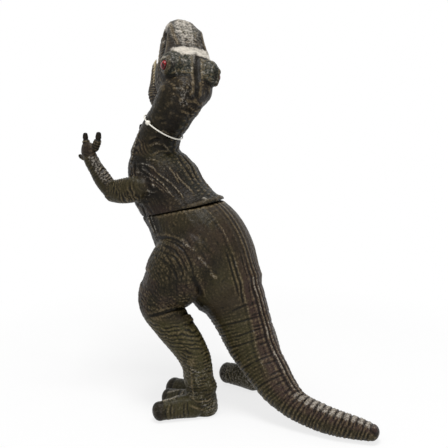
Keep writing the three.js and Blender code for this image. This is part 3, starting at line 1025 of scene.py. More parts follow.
@dataclass
class Head:
    """The head: skull, open jaw, brows, eyes, teeth and tongue, in a frame that faces -Y from the brows."""

    at: tuple[float, float, float] = (-20.0, -92.2, 382.2)
    turn: float = -47.6
    pitch: float = -41.6
    roll: float = -19.3
    hinge: tuple[float, float, float] = (0.0, 20.0, -51.0)
    gape: float = 15.6
    brow_at: tuple[float, float, float] = (21.5, 3.0, -11.1)
    brow_half: tuple[float, float, float] = (12.5, 17.0, 13.5)
    eye_at: tuple[float, float, float] = (32.0, 7.5, -9.8)
    eye_half: tuple[float, float, float] = (4.0, 5.4, 5.6)
    # [forward, half width, top, bottom], from the back of the head to the snout
    skull: tuple = (
        (-38.9, 18.9, -12.1, -52.4), (-25.7, 27.6, -4.2, -57.7), (-8.5, 32, -1.2, -56.9),
        (5.8, 33.5, 0, -50.7), (19.4, 30.1, -2, -47.3), (38.3, 26.9, -3.5, -45.9),
        (56.8, 24.2, -5, -43.7), (71.3, 19, -8.7, -39.8),
    )
    jaw: tuple = (
        (-31.9, 20.5, -40.3, -64.7), (-18.1, 27.3, -50.4, -69), (6.3, 28.9, -53.4, -68.2),
        (34.5, 22.4, -53.2, -66), (58.4, 18, -51.7, -62.8), (71.1, 15, -52.8, -60.8),
    )
    corner: float = 2.6
    teeth_a_side: int = 9
    tooth_length: float = 7.5
    tooth_radius: float = 1.8
    tooth_sunk: float = 2.0

    def __post_init__(self) -> None:
        """Work out the turns."""
        self.matrix = turn_matrix(self.pitch, self.roll, self.turn)
        self.jaw_matrix = turn_matrix(x=self.gape)

    def out(self, points: Points) -> Points:
        """Carry points from the head's frame to the toy's."""
        return points @ self.matrix.T + np.array(self.at)

    def into(self, points: Points) -> Points:
        """Carry points from the toy's frame to the head's."""
        return (points - np.array(self.at)) @ self.matrix

    def drop(self, points: Points) -> Points:
        """Open points of the jaw about its hinge."""
        return (points - np.array(self.hinge)) @ self.jaw_matrix.T + np.array(self.hinge)

    def lift(self, points: Points) -> Points:
        """Close points of the jaw about its hinge."""
        return (points - np.array(self.hinge)) @ self.jaw_matrix + np.array(self.hinge)

    def jaw_out(self, points: Points) -> Points:
        """Carry points of the closed jaw to the toy's frame, opened."""
        return self.out(self.drop(points))

    def forms(self) -> dict[str, Form]:
        """Make the skull's and the jaw's forms.

        Returns:
            The forms, by name.
        """
        def rows(table: tuple) -> list[Row]:
            """Turn the head's rows into a form's."""
            return [(0, -f, (top + low) / 2, side, (top - low) / 2) for f, side, top, low in table]
        return {"skull": Form("skull", rows(self.skull), self.corner, place=self.out),
                "jaw": Form("jaw", rows(self.jaw), self.corner, place=self.jaw_out)}

    def brows(self) -> list[bpy.types.Object]:
        """Model the two domes over the eyes."""
        return [ball("brow", np.array(self.brow_at) * [s, 1, 1], self.brow_half, self.out) for s in (1, -1)]

    def edge(self, table: tuple, forward: float, share: float, side: int) -> Points:
        """A point of the lips, in the head's frame with the jaw closed.

        Args:
            table: The skull's or the jaw's rows.
            forward: How far forward, in mm.
            share: How far out, as a share of the half width.
            side: 1 for the upper face of the form and -1 for the lower.

        Returns:
            The point.
        """
        rows = np.array(table)
        wide, top, low = (np.interp(forward, rows[:, 0], rows[:, k]) for k in (1, 2, 3))
        tall = (1 - abs(share) ** self.corner) ** (1 / self.corner)
        return np.array([wide * share, -forward, (top + low) / 2 + side * (top - low) / 2 * tall])

    def carve(self, zones: dict[str, Zone]) -> None:
        """Carve and tint the head.

        Args:
            zones: The skin's zones, by form.
        """
        field = HeadField(zones, self.into(zones["skull"].points))
        self.carve_crown(field)
        self.carve_nape(field, zones["neck"].own)
        self.carve_snout(field)
        self.carve_face(field)
        self.carve_mouth(field, zones["skull"], zones["jaw"])
        field.relief.tint(Tint.DARK, np.clip(field.dark, 0, 1))

    def carve_crown(self, f: HeadField) -> None:
        """Shape the brows, the valley and the ridge between them, and the pale band and speckled snout top,
        whose paleness is painted highlight.

        Args:
            f: The head's points and what the steps share.
        """
        x, y, u, q, top = f.x, f.y, f.u, f.q, f.top
        brow = ramp(u, 2.5, 6.5) * ramp(y, -10, -6) * ramp(y, 24, 17) * top
        valley = hill(x, -4.5, 3.6) * ramp(y, -12, -2) * ramp(y, 52, 36) * top
        ridge = hill(x, 2.6, 1.8) * ramp(y, -10, -4) * ramp(y, 50, 40) * top
        # The pale band, a painted highlight, slants a little, and its right end runs back along the ridge.
        level = y - 0.2 * x + 1.4 * lumps(q, 4, 39)
        band = np.maximum(ramp(level, -28, -20) * ramp(level, -6, -12) * ramp(u, 31, 24),
                          0.6 * hill(x, -1.0, 4.0) * ramp(y, 18, -8) * ramp(y, -24, -16)) * top
        snout = ramp(y, -20, -30) * ramp(u, 19, 14) * top
        cracks = cell_edges(q, 5.2, 3, 0.1)
        crease = ramp(y, -52, -44) * ramp(y, -22, -30) + 0.5 * ramp(y, 22, 28)
        f.relief.height += 1.3 * brow - 1.9 * valley + 0.9 * band + 0.8 * ridge - 0.5 * cracks * brow
        f.relief.height += 0.55 * lumps(q, 2.6, 5) * (snout + 0.3 * brow)
        f.relief.height -= 0.7 * wrinkles(q, y + 0.3 * u, 3.8, 11) * top * crease
        f.relief.height -= 1.4 * hill(y, 21.5, 2.2) * ramp(u, 8, 14) * top
        # The band and the top of the snout are paled as painted highlight, the snout more towards the left.
        streak = patchy(q * [1, 1.6, 1], 4.5, 37, -0.5, 0.3)
        pale = (0.26 + 0.24 * f.speckle + 0.12 * ramp(y, -36, -50)) * (0.6 + 0.4 * ramp(x, -9, -3))
        f.relief.tint(Tint.PALE_AND_HIGHLIGHT, band * (0.54 + 0.14 * f.speckle + 0.2 * streak), snout * pale, 0.25 * ridge,
                      brow * (0.12 + 0.4 * cracks * patchy(q, 7, 33, -0.3, 0.3)),
                      0.7 * np.exp(-((u - 19) ** 2 + (y + 8) ** 2) / 26) * top)
        f.relief.tint(Tint.MOSS, np.clip(1.2 * brow, 0, 1),
                      0.8 * ramp(f.speckle, 0.5, 0.0) * snout * ramp(y, -36, -50))
        # The valley is darkened a little as painted shade.
        f.dark += 0.1 * valley

    def carve_nape(self, f: HeadField, neck: Points) -> None:
        """Roughen the back of the skull, with a chalky patch behind the ridge.

        Args:
            f: The head's points and what the steps share.
            neck: How much of each point the neck owns.
        """
        nape = np.exp(-((f.x - 9) ** 2 / 260 + (f.y - 42) ** 2 / 200)) * ramp(f.z, -30, -20)
        f.relief.height += 0.7 * lumps(f.q, 4.2, 35) * nape
        f.relief.height += 0.35 * lumps(f.q, 5.5, 38) * ramp(f.y, 12, 24) * (f.owned + neck)
        f.relief.tint(Tint.PALE_AND_HIGHLIGHT, 0.34 * nape * (0.45 + 0.55 * patchy(f.q, 5, 36, -0.3, 0.4)))

    def carve_snout(self, f: HeadField) -> None:
        """Run a ridge along each side of the snout, a groove and pits below it, and open the nostrils.

        Args:
            f: The head's points and what the steps share.
        """
        y, z, u, q = f.y, f.z, f.u, f.q
        rim = hill(u, 18.5, 2.4) * ramp(y, -20, -28) * ramp(y, -78, -70) * ramp(z, -22, -12)
        groove = hill(z, -17.5, 3.2) * ramp(u, 17, 21) * ramp(y, 4, -6) * ramp(y, -68, -60) * f.owned
        pits = sum(np.exp(-((y - pit) ** 2 + (z + 19) ** 2) / 9) for pit in (-52, -43, -33)) * ramp(u, 16, 20)
        flare, nostril = blob(q, (20, -63, -18), 42), blob(q, (12, -76, -14), 8)
        f.relief.height += (1.6 * rim - 1.2 * pits + 2.2 * flare - 3.0 * nostril) * f.owned - 2.0 * groove
        strip = hill(u, 20, 4) * ramp(y, -20, -28) * ramp(z, -24, -16) * f.owned
        # The nostril flare and the strip along the side are paled as painted highlight.
        f.relief.tint(Tint.PALE_AND_HIGHLIGHT, 0.4 * flare + 0.3 * strip, 0.5 * blob(q, (26, -44, -22), 16))
        # The groove and the nostrils are darkened as painted shade.
        f.dark += 0.85 * groove + nostril

    def carve_face(self, f: HeadField) -> None:
        """Swell the jaw muscle, ring the eyes and wrinkle the cheeks.

        Args:
            f: The head's points and what the steps share.
        """
        y, z, q = f.y, f.z, f.q
        from_eye = np.stack([np.abs(f.x), y, z], axis=1) - np.array(self.eye_at)
        eye = np.linalg.norm(from_eye / [5.6, 7.2, 7.2], axis=1)
        # The lid hangs over the back and the top of the eye.
        lid = ramp(from_eye @ np.array([-0.25, 0.75, 0.6]), -1.0, 5.0)
        fold = lid * hill(eye, 1.3, 0.35)
        f.relief.height += 2.4 * blob(q, (28, 27, -25), 120) + 0.8 * hill(eye, 1.15, 0.2) + 1.8 * fold
        f.relief.height -= 1.4 * ramp(eye, 1.0, 0.6)
        side = ramp(z, -14, -22) * f.owned
        f.relief.height -= 0.45 * cell_edges(q, 4.6, 21, 0.14) * side
        f.relief.height -= 0.8 * wrinkles(q, y - 0.35 * z, 5.2, 23) * side
        f.relief.tint(Tint.PALE_AND_HIGHLIGHT, hill(eye, 1.15, 0.14) * (0.5 * ramp(y, 6, -2) + 0.25 * (1 - lid)))
        f.dark += 0.5 * fold

    def carve_mouth(self, f: HeadField, skull: Zone, jaw: Zone) -> None:
        """Roll the lips with short upright scales, and tint the mouth inside them.

        Args:
            f: The head's points and what the steps share.
            skull: The skull's zone.
            jaw: The jaw's zone.
        """
        y, above, below = f.y, skull.on, jaw.on
        lip = hill(above.through, -0.62, 0.2) * ramp(np.abs(above.across), 0.5, 0.8) * ramp(y, 12, 2)
        jaw_lip = hill(below.through, 0.45, 0.3) * ramp(np.abs(below.across), 0.5, 0.8) * ramp(y, 12, 2)
        f.relief.height += (0.9 - 0.45 * grooves(y / 5.5, 0.16)) * lip * f.owned
        f.relief.height += (0.6 - 0.15 * grooves(y / 5.0 + 0.4, 0.16)) * jaw_lip * f.owned
        # The tip of the jaw is paled as painted highlight.
        jaw.tint(Tint.PALE_AND_HIGHLIGHT, 0.32 * ramp(below.share(), 0.82, 0.93))
        roof = ramp(-above.through, 0.75, 0.9) * ramp(np.abs(above.across), 0.75, 0.55) * skull.own
        bed = ramp(below.through, 0.7, 0.88) * ramp(np.abs(below.across), 0.75, 0.55) * jaw.own
        f.relief.tint(Tint.GUM, np.clip((roof + bed) * ramp(f.z, -32, -38) * ramp(y, 18, 8), 0, 1))

    def build_eyes(self) -> None:
        """Model each eye with its upright slit and dress it."""
        enamel = EyeEnamel().make()
        for side, name in ((1, "left_eye"), (-1, "right_eye")):
            eye = ball(name + "_enamel", np.array(self.eye_at) * [side, 1, 1], self.eye_half, self.out, 48)
            local = self.into(points_of(eye)) * [side, 1, 1] - np.array(self.eye_at)
            outward = np.array([0.66, 0.45, 0.6])
            facing = (local / np.array(self.eye_half)) @ (outward / np.linalg.norm(outward))
            crosswise = local @ np.array([-0.67, 0.0, 0.74])
            pupil = np.hypot(crosswise / 1.1, (local[:, 1] - 2.4) / 2.6)
            set_values(eye, "slit", ramp(pupil, 1.2, 0.8) * ramp(facing, 0.2, 0.4))
            # The rim is darker, and the back of the eye is darkened as the lid's painted shadow.
            set_values(eye, "rim", np.maximum(ramp(facing, 0.5, 0.2), 0.85 * ramp(local[:, 1], 1.5, 4.0)))
            dress(eye, enamel)
            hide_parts(name)
            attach(eye, Body.NECK.value)

    def tooth(self, name: str, root: Points, down: int, lean: float, size: float) -> bpy.types.Object:
        """Model one curved tooth.

        Args:
            name: Its name.
            root: Its root in the head's frame, jaw closed.
            down: -1 for an upper tooth and 1 for a lower.
            lean: How far its tip leans out, in mm.
            size: Its size beside the largest.

        Returns:
            The tooth.
        """
        long, wide = self.tooth_length * size, self.tooth_radius * (0.6 + 0.4 * size)
        bend = np.array([lean, 1.6, 0])
        rows = []
        for t, w in ((0, 1), (0.4, 0.86), (0.75, 0.52), (1, 0.2)):
            at = root + bend * t * t + [0, 0, down * (long * t - self.tooth_sunk)]
            rows.append((*at, wide * w, wide * w * 1.15))
        place = self.out if down < 0 else self.jaw_out
        return Form(name, rows, sides=10, step=2.2, place=place).model()

    def build_teeth(self) -> None:
        """Model both rows of teeth and dress them."""
        enamel = TOOTH.make()
        for name, table, down in (("upper_teeth", self.skull, -1), ("lower_teeth", self.jaw, 1)):
            made = []
            for i in range(self.teeth_a_side):
                forward = 16 + 54 * i / (self.teeth_a_side - 1) + (2.6 if down > 0 else 0)
                size = 0.72 + 0.28 * math.sin(math.pi * (i + 1) / self.teeth_a_side)
                if down > 0:
                    size = 0.4 + 0.7 * i / (self.teeth_a_side - 1)
                for side in (1, -1):
                    root = self.edge(table, min(forward, 70.5), 0.84 * side, down)
                    made.append(self.tooth("tooth", root, down, 0.8 * side, size))
            for x in (-6.0, 0.0, 6.0):
                root = self.edge(table, 70, 0.3 * np.sign(x), down) * [0, 1, 1] + [x, -6.5 + abs(x) * 0.2, 0]
                made.append(self.tooth("tooth", root, down, 0.0, 0.8))
            row = choose(*made)
            bpy.ops.object.join()
            row.name = row.data.name = name + "_moulded"
            dress(row, enamel)
            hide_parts(name)
            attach(row, Body.NECK.value)

    def build_tongue(self) -> None:
        """Model the tongue that lies in the jaw and dress it."""
        rows = []
        for forward, side, rise in ((2, 9, 0.5), (18, 10.5, 1.5), (34, 9.5, 2.5), (48, 7, 4.5)):
            at = self.edge(self.jaw, forward, 0, 1)
            rows.append((0, -forward, at[2] + rise, side, 3.4))
        form = Form("tongue_moulded", rows, sides=24, step=3, place=self.jaw_out)
        tongue = form.model()
        local = self.lift(self.into(points_of(tongue)))
        sunk = -1.6 * hill(local[:, 0], 0, 2.2)
        set_points(tongue, self.out(self.drop(local + np.stack([0 * sunk, 0 * sunk, sunk], axis=1))))
        dress(tongue, MOUTH.make())
        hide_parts("tongue")
        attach(tongue, Body.NECK.value)


# Chest, neck and arms
@dataclass
class UpperBody:
    """The upper skin: chest, neck, head and jaw in one, with the two arms cut off it."""

    head: Head
    trunk: tuple = (
        (0, -134.9, 278.3, 28.8, 27.3), (0, -131.3, 264.7, 34.7, 35.6), (0, -120.7, 243.9, 40.6, 41.8),
        (0, -103.6, 221.3, 42, 41.4), (0, -82.8, 197.9, 48.1, 47.7), (0, -65.1, 178.8, 51.5, 52.2),
    )
    neck: tuple = (
        (0.3, -134.7, 277.4, 25.1, 26.8), (-0.5, -130.1, 290, 25.6, 25.2),
        (-0.9, -123.6, 304.9, 24.8, 23.1), (-2.8, -112.3, 320.9, 26.1, 23.9),
        (-7.2, -104.3, 337.4, 28, 24.6), (-12.7, -96.9, 350.8, 26.9, 24.4),
    )
    upper_arm: tuple = (
        (26, -122, 242.5, 12.2, 12.6), (34.5, -123.6, 242.3, 12.6, 13.6), (40.4, -132.5, 240.8, 13, 15),
        (44.5, -146.9, 237.7, 12.6, 14.3), (45.4, -160.1, 236.4, 12, 12.7),
    )
    forearm: tuple = (
        (47.4, -163.2, 239.6, 9.7, 10.2), (48.2, -173, 250.6, 9.8, 10.3), (49.1, -184, 264.6, 7.9, 8.4),
        (49, -189.5, 273.1, 7, 7.2),
    )
    palm: tuple = (
        (49, -188.4, 271, 6.4, 6.4), (50, -191.5, 279, 5.6, 8.4), (50.2, -190.4, 286, 4.4, 7.6),
    )
    fingers: tuple = (
        ((50, -192.5, 283.4, 3.7, 3.7), (49.9, -194.9, 292.8, 3.5, 3.4), (50, -195.3, 299.1, 2.5, 2.5)),
        ((47.4, -183.9, 283.2, 4, 4.1), (47.5, -178.4, 293.4, 3.8, 3.6), (47.8, -176.7, 300.9, 2.7, 2.8)),
        ((50, -195, 274.7, 3.2, 3.2), (50, -200.8, 271.8, 2.8, 2.8), (50.1, -204.7, 274, 1.9, 1.7)),
    )
    hem: tuple[float, float, float] = (0.0, -90.0, 219.0)
    hem_tilt: float = 15.0
    neck_flex: tuple = ((0.0, -132.5, 266.0), (-0.6, -126.5, 300.0))
    arm_cut: tuple[float, float, float] = (44.6, -148.0, 237.6)
    arm_flex_end: tuple[float, float, float] = (45.6, -168.0, 236.6)
    folds: tuple = (
        Fold(1.3, 1.3, [(20, -138, 305), (21, -145, 291), (27, -145, 277), (30, -146, 267)], 0.48),
        Fold(1.4, -1.6, [(23, -123, 292), (22, -117, 296), (18, -111, 297)]),
        Fold(0.9, 1.0, [(34, -134, 268), (33, -125, 270), (33, -111, 267), (33, -104, 261)], 0.42),
        Fold(0.8, 0.8, [(31, -124, 274), (28, -115, 275), (26, -109, 274)], 0.38),
        Fold(0.8, 1.0, [(33, -104, 261), (31, -96, 256), (28, -86, 249), (27, -78, 242), (28, -71, 235)],
             0.5),
        Fold(0.8, 0.9, [(36, -122, 263), (36, -109, 258), (35, -96, 251), (34, -88, 243), (33, -82, 237)],
             0.44),
        Fold(0.8, 0.8, [(37, -119, 257), (38, -105, 253), (36, -94, 246), (35, -86, 239)], 0.36),
        Fold(0.8, 0.7, [(38, -116, 250), (38, -103, 248), (37, -91, 241)], 0.34),
        Fold(1.1, 1.0, [(42, -114, 241), (40, -106, 240), (39, -100, 242)], 0.35),
        Fold(3.0, 1.2, [(-3, -96, 277), (-8, -92, 272), (-7, -85, 266), (-7, -79, 257)], 0.48),
        Fold(2.2, 1.6, [(-16, -97, 273), (-15, -87, 264), (-16, -79, 252), (-20, -69, 241), (-14, -54, 232)]),
        Fold(1.6, -1.3, [(4, -97, 277), (6, -86, 267), (4, -77, 257), (3, -72, 250)]),
        Fold(1.2, 1.0, [(21, -88, 263), (20, -81, 254), (16, -74, 246), (16, -67, 241)], 0.32),
        Fold(1.2, 1.0, [(22, -97, 268), (23, -89, 261), (23, -81, 252)], 0.3),
        Fold(2.6, 1.1, [(12, -58, 235), (12, -52, 231)], 0.5),
        Fold(2.0, -1.4, [(33, -136, 223), (39, -123, 221), (37, -117, 209)]),
        Fold(1.2, -0.9, [(22, -109, 317), (20, -101, 319)]),
        Fold(1.1, 0.9, [(22, -115, 305), (18, -106, 307), (13, -103, 303)], 0.3),
        Fold(1.3, 1.1, [(23, -124, 288), (21, -116, 292), (15, -110, 291), (7, -108, 283)], 0.32),
        Fold(1.3, 1.0, [(26, -117, 279), (16, -114, 283), (5, -108, 281)], 0.3),
    )

    def hem_normal(self) -> Points:
        """The way up from the hem's plane."""
        a = math.radians(self.hem_tilt)
        return np.array([0.0, -math.sin(a), math.cos(a)])

    def left_forms(self) -> dict[str, Form]:
        """Make the forms of the chest, the neck and the left arm.

        Returns:
            The forms, by name.
        """
        found = {name: Form(name, getattr(self, name)) for name in ("trunk", "neck")}
        found |= {name: Form(name, getattr(self, name), step=3) for name in ("upper_arm", "forearm", "palm")}
        fingers = {f"finger_{i}": rows for i, rows in enumerate(self.fingers)}
        return found | {name: Form(name, rows, step=2.5) for name, rows in fingers.items()}

    def locate(self, points: Points) -> dict[str, Place]:
        """Say where the skin's points lie on each form.

        Args:
            points: N by 3 places in mm.

        Returns:
            Where they lie, by form.
        """
        folded = to_left(points)
        found = {name: form.locate(points if name == "neck" else folded)
                 for name, form in self.left_forms().items()}
        local = self.head.into(points)
        forms = self.head.forms()
        found["skull"] = forms["skull"].locate(local)
        found["jaw"] = forms["jaw"].locate(self.head.lift(local))
        return found

    def carve(self, relief: Relief) -> None:
        """Carve and tint the whole upper skin.

        Args:
            relief: The skin's relief.
        """
        p = relief.points
        q = to_left(p)
        places = self.locate(p)
        own = shares(places)
        zones = {name: Zone(relief, p if name == "skull" else q, places[name], own[name]) for name in own}
        self.carve_chest(zones["trunk"])
        self.carve_neck(zones["neck"])
        self.head.carve(zones)
        self.carve_arm(zones)
        arms = sum(own[n] for n in own if n in ("forearm", "palm") or n.startswith("finger"))
        for fold in self.folds:
            relief.fold(fold, q, 1 - arms)
        # The hem stands proud of the hips below it and kicks out at the back.
        rise = (p - np.array(self.hem)) @ self.hem_normal()
        back = ramp(p[:, 1], -72, -50)
        relief.height += hill(rise, 1.5, 3.5) * (0.2 + 2.6 * back) + 0.4 * ramp(rise, 10, 0) * back
        # The hem's lower edge is darkened as painted shade.
        relief.tint(Tint.DARK, 0.6 * ramp(rise, 1.2, 0.2), 0.4 * hill(rise, 2.5, 3.5))

    def carve_chest(self, chest: Zone) -> None:
        """Wrinkle the chest: long slanting folds at the sides, scutes down the back.

        Args:
            chest: The trunk's zone.
        """
        q, on = chest.points, chest.on
        back = ramp(-on.through, 0.25, 0.65)
        front = ramp(on.through, 0.35, 0.75)
        side = (1 - back) * (1 - front)
        slant = q @ np.array([0.1, 0.6, 0.79])
        high = 0.35 + 0.65 * ramp(q[:, 2], 222, 244)
        h = -(0.95 * wrinkles(q, slant, 5.2, 41) + 0.4 * wrinkles(q, slant, 3.2, 44)) * side * high
        h -= 0.7 * wrinkles(q, q @ np.array([0.0, 0.45, 0.9]), 4.6, 47) * front
        h -= 0.35 * cell_edges(q, 4.2, 49) * (0.4 + 0.6 * back)
        chest.carve(h + self.scutes(q[:, 0], on.along, 6.2, (0.0, 8.0, 15.5), 1.3) * back)
        chest.tint(Tint.MOSS, 0.45 * back * ramp(q[:, 0], 22, 10))
        # The sides and the front are darkened in patches as painted shade; the back, facing up, stays
        # lighter.
        chest.tint(Tint.DARK, (0.4 + 0.5 * patchy(q, 15, 53, -0.2, 0.4)) * ramp(-on.through, 0.6, 0.3))
        chest.tint(Tint.MAUVE, 0.55 * side * patchy(q, 18, 51, -0.3, 0.3))
        chest.tint(Tint.OLIVE, 0.7 * ramp(q[:, 2], 262, 285))
        streaks = wrinkles(q, slant + 2.6, 5.2, 41, 0.17) * ramp(q[:, 2], 218, 238) * ramp(q[:, 2], 284, 268)
        chest.tint(Tint.PALE_AND_HIGHLIGHT, 0.5 * streaks * side * patchy(q, 14, 52, -0.5, 0.1))
        chest.ring(0.35)

    def carve_neck(self, neck: Zone) -> None:
        """Wrinkle the neck lightly and set scutes down its back.

        Args:
            neck: The neck's zone.
        """
        q, on = neck.points, neck.on
        back = ramp(on.through, 0.2, 0.6)
        across = np.abs(on.across) * 26
        h = -0.25 * wrinkles(q, on.along + 4 * on.through, 6.5, 61, 0.16) - 0.25 * cell_edges(q, 4.0, 63)
        h -= 0.8 * wrinkles(q, on.along, 5.0, 65) * ramp(-on.through, 0.5, 0.8)
        neck.carve(h + self.scutes(across, on.along, 6.0, (0.0, 7.5), 2.2) * back)
        low = ramp(on.share(), 0.95, 0.7)
        neck.tint(Tint.OLIVE, 0.25 * (1 - back) * low)
        neck.tint(Tint.MOSS, 0.8 * back * low * ramp(across, 14, 7))
        neck.tint(Tint.DARK, 0.5 * low)
        neck.ring(0.25)

    @staticmethod
    def scutes(off: Points, along: Points, spacing: float, rows: Sequence[float], tall: float) -> Points:
        """Rows of small keeled bumps.

        Args:
            off: Distance from the middle of the back in mm.
            along: Distance along the back in mm.
            spacing: From bump to bump in mm.
            rows: Where the rows run, in mm from the middle.
            tall: Height of the middle row in mm.

        Returns:
            The bumps' height.
        """
        out = np.zeros(len(along))
        for i, row in enumerate(rows):
            phase = (along / spacing + 0.5 * (i % 2)) % 1
            out += tall * 0.5 ** i * phase ** 1.4 * ramp(phase, 1.0, 0.86) * hill(off, row, 2.6)
        return out

    def carve_arm(self, zones: dict[str, Zone]) -> None:
        """Wrinkle the arms, ring the shoulders, and shape the claws.

        Args:
            zones: The skin's zones, by form.
        """
        arm, forearm, palm = zones["upper_arm"], zones["forearm"], zones["palm"]
        q, on = arm.points, arm.on
        shoulder = ramp(on.share(), 0.98, 0.6)
        h = -0.85 * wrinkles(q, on.along + 3 * on.across, 3.4, 71) * (0.35 + 0.65 * shoulder)
        h *= ramp(on.ratio, 1.7, 1.05)
        h -= 0.6 * wrinkles(q, 12 * on.angle() + 0.5 * on.along, 5.2, 73) * (1 - shoulder)
        # The shoulder's rings run on over the chest beside it.
        arm.relief.height += h * np.maximum(arm.own, 0.8 * shoulder * ramp(on.ratio, 1.6, 1.1))
        arm.tint(Tint.OLIVE, 0.5)
        # The underside of the upper arm is paled as painted highlight.
        arm.tint(Tint.PALE_AND_HIGHLIGHT, 0.3 * ramp(-on.through, 0.7, 0.95))
        arm.ring(0.0)
        on = forearm.on
        inner = ramp(on.through, 0.1, 0.6)
        lines = wrinkles(q, on.along + 2 * on.across, 3.9, 75, 0.24)
        forearm.carve(1.3 * ramp(on.share(), 0.6, 1.0) - (0.5 + 0.25 * inner) * lines)
        # The inner side is pale paint and partly painted highlight, broken by the wrinkles.
        forearm.tint(Tint.PALE_AND_HIGHLIGHT, inner * (0.34 + 0.14 * patchy(q, 5.5, 77, -0.2, 0.4)) * (1 - 0.5 * lines))
        forearm.tint(Tint.OLIVE, 0.5 * (1 - inner))
        forearm.ring(0.0)
        for finger in (zones[name] for name in zones if name.startswith("finger")):
            on = finger.on
            claw = ramp(on.share(), 0.6, 0.72)
            h = 0.9 - 0.6 * grooves(on.along / 3.2, 0.22) * (1 - claw) - 0.7 * claw
            finger.carve(h - hill(on.share(), 0.66, 0.07))
            finger.tint(Tint.PALE_AND_HIGHLIGHT, 0.4 * hill(on.share(), 0.62, 0.04))
            finger.tint(Tint.DARK, 0.5 * claw)
        palm.carve(1.2 - 0.6 * wrinkles(q, q[:, 2], 4.2, 79))
        palm.tint(Tint.MAUVE, 0.3)

    def build(self, vinyl: bpy.types.Material) -> None:
        """Model, carve, split and dress the upper skin and the arms.

        Args:
            vinyl: The skins' finish.
        """
        made = [form.model() for form in (*self.left_forms().values(), *self.head.forms().values())]
        made += [Form("right_arm_form", mirror(rows), step=3).model()
                 for rows in (self.upper_arm, self.forearm, self.palm, *self.fingers)]
        skin = fuse("chest_neck_and_head_skin", [*made, *self.head.brows()])
        places = self.locate(points_of(skin))
        relax(skin, near_joins(places) * (places["jaw"].ratio > 1.25), 10)
        relief = Relief(skin)
        self.carve(relief)
        relief.carve()
        cut_level(skin, np.array(self.hem), self.hem_normal())
        arms = []
        for side, name in ((1, "left_arm"), (-1, "right_arm")):
            cut, end = np.array([self.arm_cut, self.arm_flex_end]) * [side, 1, 1]
            arms.append(split_off(skin, name + "_skin", cut, end, lambda c, s=side: (
                (c[:, 0] * s > 29) & (c[:, 1] < -140) & (c[:, 2] < 312))))
        for obj in (skin, *arms):
            dress(obj, vinyl)
        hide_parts("chest_skin", "chest_filling", "neck_skin", "neck_filling", "head_skin",
                    "head_filling", "lower_jaw")
        start, end = self.neck_flex
        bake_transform(skin)
        for obj, body, side in zip(arms, (Body.LEFT_ARM, Body.RIGHT_ARM), (1, -1)):
            name = body.value.removesuffix("_arm")
            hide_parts(name + "_upper_arm", name + "_forearm", name + "_hand")
            start, end = np.array([self.arm_cut, self.arm_flex_end]) * [side, 1, 1]
            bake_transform(obj)


